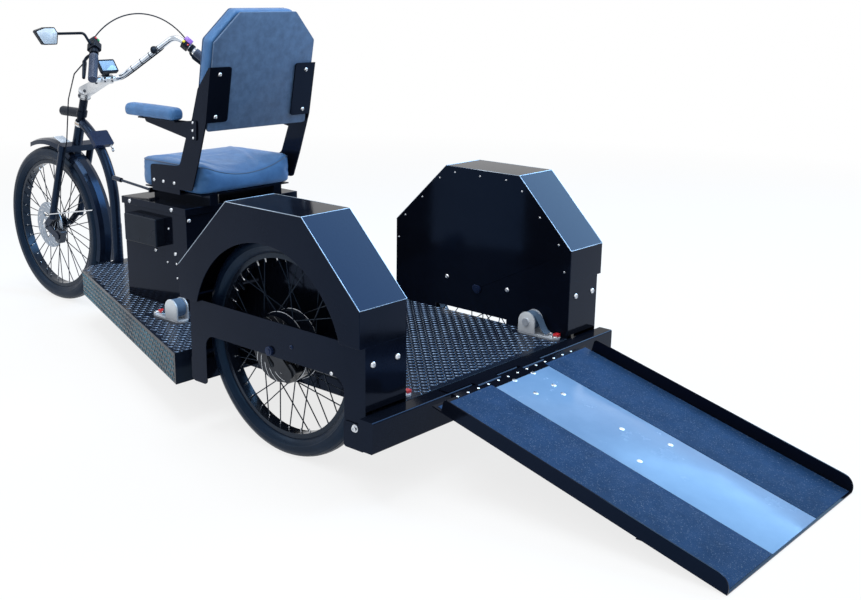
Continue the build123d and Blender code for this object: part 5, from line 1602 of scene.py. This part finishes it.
@dataclass
class RampDress:
    """Grit strips and glossy centre, both with the sky's reflection painted into their colour, bolts and foot edges of
    the ramp.
    """

    hinge_x: float = -456.0
    hinge_z: float = 234.0
    slope: float = 14.232
    top: float = 8.0
    lift: float = 0.02
    strips: tuple[Box, ...] = ((24, 128, 957, 373), (24, -373, 957, -145))
    strip_height: float = 1.1
    centre: Box = (40, -143, 958, 126)
    centre_height: float = 0.6
    plate_edge: float = 0.25
    bolts: tuple[Pair, ...] = (
        (42, 37), (42, -57), (125, 39), (124, -55), (173, -38), (390, -34), (521, -95), (517, 69),
    )
    bolt_lift: float = 0.5
    rivet_u: float = 15.0
    rivet_first: float = 276.0
    rivet_step: float = 48.0
    rivet_size: float = 1.4
    rivets: int = 13
    foot_y: float = 278.0
    foot_half: float = 22.5
    foot_ends: tuple[Pair, ...] = ((672.0, -58.0), (772.0, -32.0))
    foot_depth: float = 7.9
    foot_edge: float = 0.6

    def place(self, u: float, y: float, height: float) -> Vector:
        """Point above the ramp's sheet.

        Args:
            u: Millimetres down the ramp from its hinge.
            y: Millimetres left of the middle.
            height: Millimetres above the sheet.

        Returns:
            The point in the frame.
        """
        slope = math.radians(self.slope)
        rise = self.top + height
        x = self.hinge_x - u * math.cos(slope) - rise * math.sin(slope)
        return at(x, y, self.hinge_z - u * math.sin(slope) + rise * math.cos(slope))

    @property
    def facing(self) -> Vector:
        """The way that the ramp's sheet faces."""
        return (self.place(0, 0, 1) - self.place(0, 0, 0)).normalized()

    def plate(self, box: Box, height: float) -> Mesh:
        """Makes a thin plate on the ramp.

        Args:
            box: Two opposite corners, down the ramp and left.
            height: Its thickness.

        Returns:
            The mesh.
        """
        u0, y0, u1, y1 = box
        corners = [self.place(u, y, self.lift) for u, y in ((u0, y0), (u0, y1), (u1, y1), (u1, y0))]
        return prism(corners, self.facing * height * MM, self.plate_edge)

    def build(self) -> None:
        """Makes the pieces on the ramp."""
        strips = joined([self.plate(box, self.strip_height) for box in self.strips])
        # The grit's blue is painted sky reflection and its specks are painted glints.
        add_piece("ramp_grit", strips, Coat.GRIT, RAMP, slot="black_rubber")
        # The centre plate's light blue is painted sky reflection.
        add_piece("ramp_centre", self.plate(self.centre, self.centre_height), Coat.RAMP, RAMP, slot="tread_plate")
        facing = self.facing
        bolts = [Spot(self.place(u, y, self.bolt_lift), facing, LEFT) for u, y in self.bolts]
        ys = [self.rivet_first - self.rivet_step * number for number in range(self.rivets)]
        rivets = [Spot(self.place(self.rivet_u, y, 0.0), facing, LEFT, self.rivet_size) for y in ys]
        parts = [Fastener.DISC.set_on(bolts, Coat.ZINC), Fastener.RIVET.set_on(rivets, Coat.ZINC)]
        add_piece("ramp_fasteners", joined(parts), Coat.ZINC, RAMP, slot="zinc_steel")
        edges = []
        for side in SIDES:
            low, high = side * self.foot_y - self.foot_half, side * self.foot_y + self.foot_half
            corners = [self.place(u, low, depth) for u, depth in self.foot_ends]
            corners += [self.place(u, high, depth) for u, depth in reversed(self.foot_ends)]
            edges.append(prism(corners, -facing * self.foot_depth * MM, self.foot_edge))
        add_piece("ramp_foot_edges", joined(edges), Coat.RUST, RAMP, slot="black_rubber")


@dataclass
class TieDowns:
    """White reel covers, rolled webbing, hooks and red releases of the wheelchair's four tie-downs."""

    # Ahead and left of the rear axle, and which way the hook points
    anchors: tuple[tuple[float, float, int], ...] = ((-291, 375, -1), (-291, -375, -1), (770, 356, 1), (770, -356, 1))
    shift: float = 36.0
    plate_top: float = 245.0
    rise: float = 38.0
    radius: float = 33.4
    half: float = 24.0
    cover_steps: int = 16
    cover_foot: float = 37.0
    cover_sheet: float = 1.6
    cover_edge: float = 0.5
    roll: tuple[Pair, ...] = ((-18.5, 22.0), (-18.5, 31.0), (-16.0, 31.8), (16.0, 31.8), (18.5, 31.0), (18.5, 22.0))
    strap: tuple[Pair, ...] = ((-8.0, 62.0), (6.0, 44.0), (16.0, 26.0), (26.0, 12.0), (38.0, 6.0))
    strap_width: float = 32.0
    strap_thick: float = 1.6
    hook: tuple[Point, ...] = (
        (34, 13, 5), (36, -13, 5), (46, -14, 4), (56, -6, 3), (72, 0, 3), (78, 9, 3), (72, 16, 3), (62, 14, 3),
    )
    hook_radius: float = 3.2
    release: Point = (66, -10, 5)
    release_size: Point = (18, 22, 10)
    release_edge: float = 2.0

    def build(self) -> None:
        """Makes one piece for all covers, one for all webbing, one for the hooks and one for the releases."""
        covers, webbing, hooks, releases = [], [], [], []
        for x, y, way in self.anchors:
            reel = at(x - way * self.shift, y, self.plate_top + self.rise)
            covers += [self.cover(reel, face) for face in SIDES]
            tongue = [at(x + way * ahead, y, self.plate_top + up) for ahead, up in self.strap]
            webbing += [lathe(self.roll, reel, LEFT, steps=40), self.ribbon(tongue)]
            wire = [at(x + way * ahead, y + across, self.plate_top + up) for ahead, across, up in self.hook]
            hooks.append(tube(wire, self.hook_radius))
            ahead, across, up = self.release
            place = plane_at(at(x + way * ahead, y + across, self.plate_top + up), UP, AHEAD)
            releases.append(block(place, self.release_size, self.release_edge))
        for name, parts, finish, slot in (
            ("reel_covers", covers, Coat.WHITE, "zinc_steel"),
            ("tie_down_webbing", webbing, Coat.STRAP, "black_rubber"),
            ("tie_down_hooks", hooks, Coat.ZINC, "zinc_steel"),
            ("tie_down_releases", releases, Coat.RED, "black_plastic"),
        ):
            add_piece(name, joined(parts), finish, CHASSIS, slot=slot)

    def cover(self, reel: Vector, face: int) -> Mesh:
        """Makes one D-shaped cover on a cheek of a reel.

        Args:
            reel: Middle of the reel.
            face: Left or right cheek.

        Returns:
            The mesh.
        """
        middle = reel + LEFT * face * self.half * MM
        turns = [math.pi * step / self.cover_steps for step in range(self.cover_steps + 1)]
        rim = [middle + upright(turn) * self.radius * MM for turn in turns]
        rim += [middle + Vector((ahead * self.radius, 0, -self.cover_foot)) * MM for ahead in (-1, 1)]
        return prism(rim, LEFT * face * self.cover_sheet * MM, self.cover_edge)

    def ribbon(self, points: Sequence[Vector]) -> Mesh:
        """Makes the tongue of webbing from a reel to its hook.

        Args:
            points: The middle of the tongue.

        Returns:
            The closed mesh.
        """
        rings = []
        side = LEFT * self.strap_width * MM / 2
        for before, point, after in zip((points[0], *points), points, (*points[1:], points[-1])):
            up = (after - before).cross(LEFT).normalized() * self.strap_thick * MM / 2
            rings.append([point - side - up, point + side - up, point + side + up, point - side + up])
        return loft(rings)


@dataclass
class Cockpit:
    """Glass, screen, levers, buttons, ties and key round the handlebar and head."""

    clamp: Point = (1620.1, 0.0, 994.6)
    bar_straight: float = 64.0
    bar_rise: Point = (-225, 185, 177)
    bar_end: Point = (-358, 292, 37)
    bar_radius: float = 11.1
    grip_radius: float = 16.0
    grip_ribs: int = 16
    grip_first: float = 6.0
    grip_step: float = 7.0
    grip_rib: tuple[Pair, ...] = ((-2.1, -0.3), (-1.2, 0.9), (1.2, 0.9), (2.1, -0.3))
    lever_reach: float = 46.0
    lever_tip: float = 35.0
    lever_length: float = 90.0
    lever_sides: int = 20
    # Share of the length, half width and half thickness
    lever_forms: tuple[Point, ...] = (
        (-0.02, 4.5, 3.6), (0.0, 6.0, 5.4), (0.2, 7.5, 6.0), (0.6, 9.0, 6.0), (0.9, 10.5, 6.0), (1.0, 8.0, 5.6),
    )
    pod_middle: float = 167.0
    # Places on a pod are inward, back and up from its middle
    pod_housing: Point = (26, 0, 4)
    pod_housing_size: Point = (34, 30, 26)
    pod_housing_edge: float = 5.0
    pod_rocker: Point = (0, 23, 8)
    pod_rocker_size: Point = (34, 20, 8)
    pod_rocker_edge: float = 3.0
    left_buttons: tuple[tuple[Point, float, Finish], ...] = (
        ((30, 16.5, 11), 5.0, Coat.RED), ((30, 16.5, -2), 5.0, Coat.GREEN),
    )
    right_buttons: tuple[tuple[Point, float, Finish], ...] = (
        ((12, 22, -9), 6.0, Coat.YELLOW), ((-10, 22, -9), 4.0, Coat.RED),
    )
    # Height, and share of the radius
    button_form: tuple[Pair, ...] = ((-0.5, 1.0), (1.6, 1.0), (2.4, 0.86), (3.0, 0.5), (3.1, 0.0))
    tie_shares: tuple[float, ...] = (0.24, 0.4, 0.55, 0.7)
    tie: tuple[Pair, ...] = ((-1.6, -0.2), (-1.4, 1.4), (1.4, 1.4), (1.6, -0.2))
    # Share of the bar's run, and drop below its middle
    cable: tuple[Pair, ...] = (
        (0.0, 6.0), (0.06, 11.5), (0.24, 12.4), (0.4, 12.2), (0.55, 12.4), (0.7, 12.2), (0.75, 11.5), (0.8, 6.0),
    )
    cable_radius: float = 2.8
    dial_share: float = 0.62
    dial_facing: Point = (-0.62, 0.42, 0.66)
    dial: tuple[Pair, ...] = ((4.0, 9.0), (6.0, 14.0), (15.0, 15.0), (20.0, 14.0), (22.5, 10.0), (23.5, 0.0))
    clamp_bolts: tuple[Point, ...] = ((-19, 17, 7), (-19, 17, -7))
    clamp_bolt_size: float = 0.8
    stem_bolts: tuple[Point, ...] = ((1781.7, 24.6, 921), (1752, 18, 940), (1664, 18, 980))
    stem_bolt_size: float = 1.4
    # Heights on the steering axis of dark rings that paint the shade in the stem clamp's gaps
    stem_painted_gaps: Pair = (631.0, 650.0)
    stem_radius: float = 25.0
    painted_gap_ring: tuple[Pair, ...] = ((-1.2, -0.3), (-1.0, 0.9), (1.0, 0.9), (1.2, -0.3))
    mirror_x: float = 1457.1
    mirror_z: float = 1177.6
    mirror_outline: tuple[Pair, ...] = ((306, -31), (362, -31), (395, 20), (354, 32), (314, 32), (300, 10))
    mirror_rim: float = 3.6
    mirror_round: float = 5.0
    mirror_thick: float = 0.9
    mirror_edge: float = 0.3
    screen_place: Point = (1600.1, 0.0, 1049.6)
    screen_tilt: float = 36.0
    screen_lift: float = 0.3
    screen_size: Point = (66.0, 44.0, 1.2)
    screen_edge: float = 0.4
    lamp: Point = (1951.4, 0.0, 843.1)
    lens: tuple[Pair, ...] = ((-1.0, 17.5), (0.6, 17.5), (2.2, 15.0), (3.2, 9.0), (3.6, 0.0))
    steer_origin: Point = (2011.055, 0.0, 323.515)
    steer_way: Point = (-0.358368, 0.0, 0.93358)
    headset_cup: tuple[Pair, ...] = (
        (500.0, 20.8), (500.4, 23.0), (506.0, 23.4), (506.6, 22.4), (519.0, 22.0), (519.4, 20.8),
    )
    headset_spacer: tuple[Pair, ...] = ((507.5, 20.8), (507.5, 23.0), (514.0, 23.0), (514.0, 20.8))
    plate_place: Point = (1943.0, 14.0, 717.0)
    plate_facing: Point = (-0.32, 0.0, 0.95)
    plate_size: Point = (92, 46, 1.6)
    plate_edge: float = 0.6
    plate_posts: tuple[Point, ...] = ((1920.0, 692.0, 708.5), (1965.0, 706.0, 723.5))
    post_radius: float = 4.0
    key_place: Point = (1660.3, -30.0, 720.3)
    key_way: Point = (-0.682, 0.0, -0.7314)
    key_barrel: tuple[Pair, ...] = ((-3.0, 6.5), (2.0, 6.5), (3.0, 5.6), (3.0, 0.0))
    key_blade: float = 8.0
    key_blade_size: Point = (14, 6, 2)
    key_blade_edge: float = 0.5
    key_bow: float = 22.0
    key_bow_form: tuple[Pair, ...] = ((-1.2, 4.0), (-1.2, 9.0), (1.2, 9.0), (1.2, 4.0))

    def build(self) -> None:
        """Makes all small pieces of the cockpit."""
        self.make_mirror()
        self.make_screen()
        self.make_grips()
        self.make_levers()
        self.make_pods()
        self.make_bar_fittings()
        self.make_head_fittings()

    def bar_point(self, corner: Point, side: int) -> Vector:
        """Corner of the bar on one side, in the frame."""
        return at(self.clamp[0] + corner[0], side * corner[1], self.clamp[2] + corner[2])

    def run(self, side: int) -> tuple[Vector, Vector, Vector, Vector]:
        """Finds the run of the bar that carries a grip.

        Args:
            side: Left or right.

        Returns:
            The bar's end, and the ways inward along it, ahead across it and up.
        """
        end = self.bar_point(self.bar_end, side)
        inward = (self.bar_point(self.bar_rise, side) - end).normalized()
        ahead = (AHEAD - inward * AHEAD.dot(inward)).normalized()
        return end, inward, ahead, inward.cross(ahead) * side

    def slope(self, side: int) -> tuple[Vector, Vector]:
        """Both ends of the bar's sloped run on one side."""
        return at(self.clamp[0], side * self.bar_straight, self.clamp[2]), self.bar_point(self.bar_rise, side)

    def make_mirror(self) -> None:
        """Makes the mirror's glass, which faces back, with its reflection painted in as a pale colour."""
        corners = [Vector(corner) for corner in self.mirror_outline]
        flat = Form.rounded(Form.inset(corners, self.mirror_rim), self.mirror_round, run=4)
        outline = [at(self.mirror_x, point.x, self.mirror_z + point.y) for point in flat]
        glass = prism(outline, -AHEAD * self.mirror_thick * MM, self.mirror_edge)
        add_piece("mirror_glass", glass, Coat.GLASS, STEERING, slot="chrome_tube")

    def make_screen(self) -> None:
        """Makes the display's screen."""
        tilt = math.radians(self.screen_tilt)
        facing = Vector((-math.cos(tilt), 0, math.sin(tilt)))
        place = plane_at(at(*self.screen_place) + facing * self.screen_lift * MM, facing, -LEFT)
        glass = block(place, self.screen_size, self.screen_edge)
        add_piece("display_screen", glass, Coat.SCREEN, STEERING, slot="black_plastic")

    def make_grips(self) -> None:
        """Makes the ribs of both grips."""
        ribs = []
        ring = [(place, self.grip_radius + rise) for place, rise in self.grip_rib]
        for side in SIDES:
            end, inward, *_ = self.run(side)
            for number in range(self.grip_ribs):
                middle = end + inward * (self.grip_first + number * self.grip_step) * MM
                ribs.append(lathe(ring, middle, inward, steps=28, closed=True))
        add_piece("grip_ribs", joined(ribs), Coat.GRIP, STEERING, slot="black_rubber")

    def make_levers(self) -> None:
        """Makes the broad blades of both brake levers."""
        blades = []
        for side in SIDES:
            end, inward, ahead, up = self.run(side)
            rings = []
            for share, wide, thick in self.lever_forms:
                along = self.lever_tip + share * self.lever_length
                middle = end + (ahead * self.lever_reach + inward * along) * MM
                edge = [up * wide * math.cos(t) + ahead * thick * math.sin(t) for t in circle(self.lever_sides)]
                rings.append([middle + point * MM for point in edge])
            blades.append(loft(rings))
        add_piece("lever_blades", joined(blades), Coat.PLASTIC, STEERING, slot="black_plastic", angle=50)

    def pod_point(self, side: int, place: Point) -> Vector:
        """Point of a pod, given inward, back and up from its middle.

        Args:
            side: Left or right pod.
            place: Millimetres inward, back and up.

        Returns:
            The point in the frame.
        """
        end, inward, ahead, up = self.run(side)
        return end + (inward * (self.pod_middle + place[0]) - ahead * place[1] + up * place[2]) * MM

    def make_pods(self) -> None:
        """Makes the lights and switches of both pods."""
        _, inward, ahead, _ = self.run(1)
        housing = plane_at(self.pod_point(1, self.pod_housing), inward, ahead)
        parts = [painted(block(housing, self.pod_housing_size, self.pod_housing_edge, segments=3), Coat.PLASTIC)]
        parts += [self.button(1, *button) for button in self.left_buttons]
        _, inward, ahead, _ = self.run(-1)
        rocker = plane_at(self.pod_point(-1, self.pod_rocker), -ahead, inward)
        parts.append(painted(block(rocker, self.pod_rocker_size, self.pod_rocker_edge, segments=3), Coat.VIOLET))
        parts += [self.button(-1, *button) for button in self.right_buttons]
        add_piece("pod_switches", joined(parts), Coat.PLASTIC, STEERING, slot="black_plastic")

    def button(self, side: int, place: Point, radius: float, finish: Finish) -> Mesh:
        """Makes a round push button that faces back.

        Args:
            side: Left or right pod.
            place: Millimetres inward, back and up from the pod's middle.
            radius: The button's radius.
            finish: Its finish.

        Returns:
            The mesh.
        """
        profile = [(height, radius * share) for height, share in self.button_form]
        return painted(lathe(profile, self.pod_point(side, place), -self.run(side)[2], steps=20), finish)

    def make_bar_fittings(self) -> None:
        """Makes the ties, the sleeved cables under the bar, the round switch, the stem's bolts, and dark rings round
        the stem that paint the shade of its clamp gaps.
        """
        parts, bolts = [], []
        tie = [(place, self.bar_radius + lift) for place, lift in self.tie]
        for side in SIDES:
            start, rise = self.slope(side)
            way = (rise - start).normalized()
            below = (way * way.z - UP).normalized()
            ties = [lathe(tie, start.lerp(rise, share), way, steps=28, closed=True) for share in self.tie_shares]
            route = [start.lerp(rise, share) + below * drop * MM for share, drop in self.cable]
            parts += [painted(mesh, Coat.RUBBER) for mesh in (*ties, tube(route, self.cable_radius))]
            bolts += [Spot(self.bar_point(bolt, side), -AHEAD, size=self.clamp_bolt_size) for bolt in self.clamp_bolts]
            bolts += [Spot(at(x, side * y, z), LEFT * side, size=self.stem_bolt_size) for x, y, z in self.stem_bolts]
        spot = self.slope(-1)[0].lerp(self.slope(-1)[1], self.dial_share)
        parts.append(painted(lathe(self.dial, spot, Vector(self.dial_facing), steps=28), Coat.PLASTIC))
        # Dark steel rings round the stem are painted shade, standing in for the shaded gaps of its clamp.
        for height in self.stem_painted_gaps:
            ring = [(height + place, self.stem_radius + lift) for place, lift in self.painted_gap_ring]
            parts.append(self.steer_ring(ring, Coat.DARK_STEEL))
        parts.append(Fastener.BUTTON.set_on(bolts, Coat.DARK_STEEL))
        add_piece("bar_fittings", joined(parts), Coat.RUBBER, STEERING, slot="black_rubber")

    def steer_ring(self, profile: Sequence[Pair], finish: Finish) -> Mesh:
        """Makes a ring round the steering axis."""
        origin, way = at(*self.steer_origin), Vector(self.steer_way)
        return painted(lathe(profile, origin, way, steps=40, closed=True), finish)

    def make_head_fittings(self) -> None:
        """Makes the lamp's lens, the headset's rings, the key and the blank plate on the mudguard."""
        lens = lathe(self.lens, at(*self.lamp), AHEAD, steps=36)
        add_piece("headlamp_lens", lens, Coat.LENS, STEERING, slot="silver_alloy")
        rings = [self.steer_ring(self.headset_cup, Coat.ALLOY), self.steer_ring(self.headset_spacer, Coat.TAN)]
        add_piece("headset_rings", joined(rings), Coat.ALLOY, CHASSIS, slot="silver_alloy")
        add_piece("key", self.key(), Coat.ZINC, CHASSIS, slot="zinc_steel")
        plate = plane_at(at(*self.plate_place), Vector(self.plate_facing), AHEAD)
        parts = [block(plate, self.plate_size, self.plate_edge)]
        routes = [(at(x, 0, low), at(x, 0, high)) for x, low, high in self.plate_posts]
        parts += [tube(route, self.post_radius, sides=12, curved=False) for route in routes]
        add_piece("mudguard_plate", joined(parts), Coat.GALVANISED, STEERING, slot="silver_alloy")

    def key(self) -> Mesh:
        """Makes the lock's barrel and the key that hangs from it.

        Returns:
            One mesh.
        """
        place, way = at(*self.key_place), Vector(self.key_way).normalized()
        lock = lathe(self.key_barrel, place, way, steps=24)
        blade_place = plane_at(place + way * self.key_blade * MM, LEFT, way)
        blade = block(blade_place, self.key_blade_size, self.key_blade_edge)
        bow = lathe(self.key_bow_form, place + way * self.key_bow * MM, LEFT, steps=24, closed=True)
        return joined([lock, blade, bow])


@dataclass
class DownTubeWrap:
    """Banded wrap round the lower part of the down tube."""

    x: float = 1611.0
    low: float = 243.0
    high: float = 402.0
    radius: float = 21.0
    bands: int = 9
    # Place in a band, from its start or from its end where it is below zero, and height above the tube
    band: tuple[Pair, ...] = ((0.0, 0.9), (1.5, 1.7), (-0.6, 1.3))
    bite: float = 0.5

    def build(self) -> None:
        """Makes the wrap."""
        step = (self.high - self.low) / self.bands
        profile = []
        for number in range(self.bands):
            base = self.low + number * step
            profile += [(base + place + (step if place < 0 else 0), self.radius + rise) for place, rise in self.band]
        profile += [(self.high, self.radius - self.bite), (self.low, self.radius - self.bite)]
        wrap = lathe(profile, at(self.x, 0, 0), UP, steps=40, closed=True)
        add_piece("down_tube_wrap", wrap, Coat.TUBE, CHASSIS, slot="black_rubber", angle=25)


def main() -> None:
    """Builds every sub-assembly in order."""
    logging.basicConfig(level=logging.INFO, format="%(name)s %(message)s")
    seat = Seat()
    wheels = (
        LacedWheel("front", 2054.0, 0.0, 1, rotor=44.2, flange=32.0, cross=60.0),
        LacedWheel("rear_left", 0.0, 497.0, 1, rotor=50.4, flange=108.0, cross=30.0),
        LacedWheel("rear_right", 0.0, -497.0, -1, rotor=50.4, flange=108.0, cross=30.0),
    )
    dress = (FrameDress(), TreadPlate(), HouseEdgeHighlights(), Fasteners(seat), RampDress(), TieDowns(), Cockpit())
    for part in (Studio(), *dress, DownTubeWrap(), seat, *wheels):
        part.build()
        LOG.info("%s done", type(part).__name__)


if __name__ == "__main__":
    main()
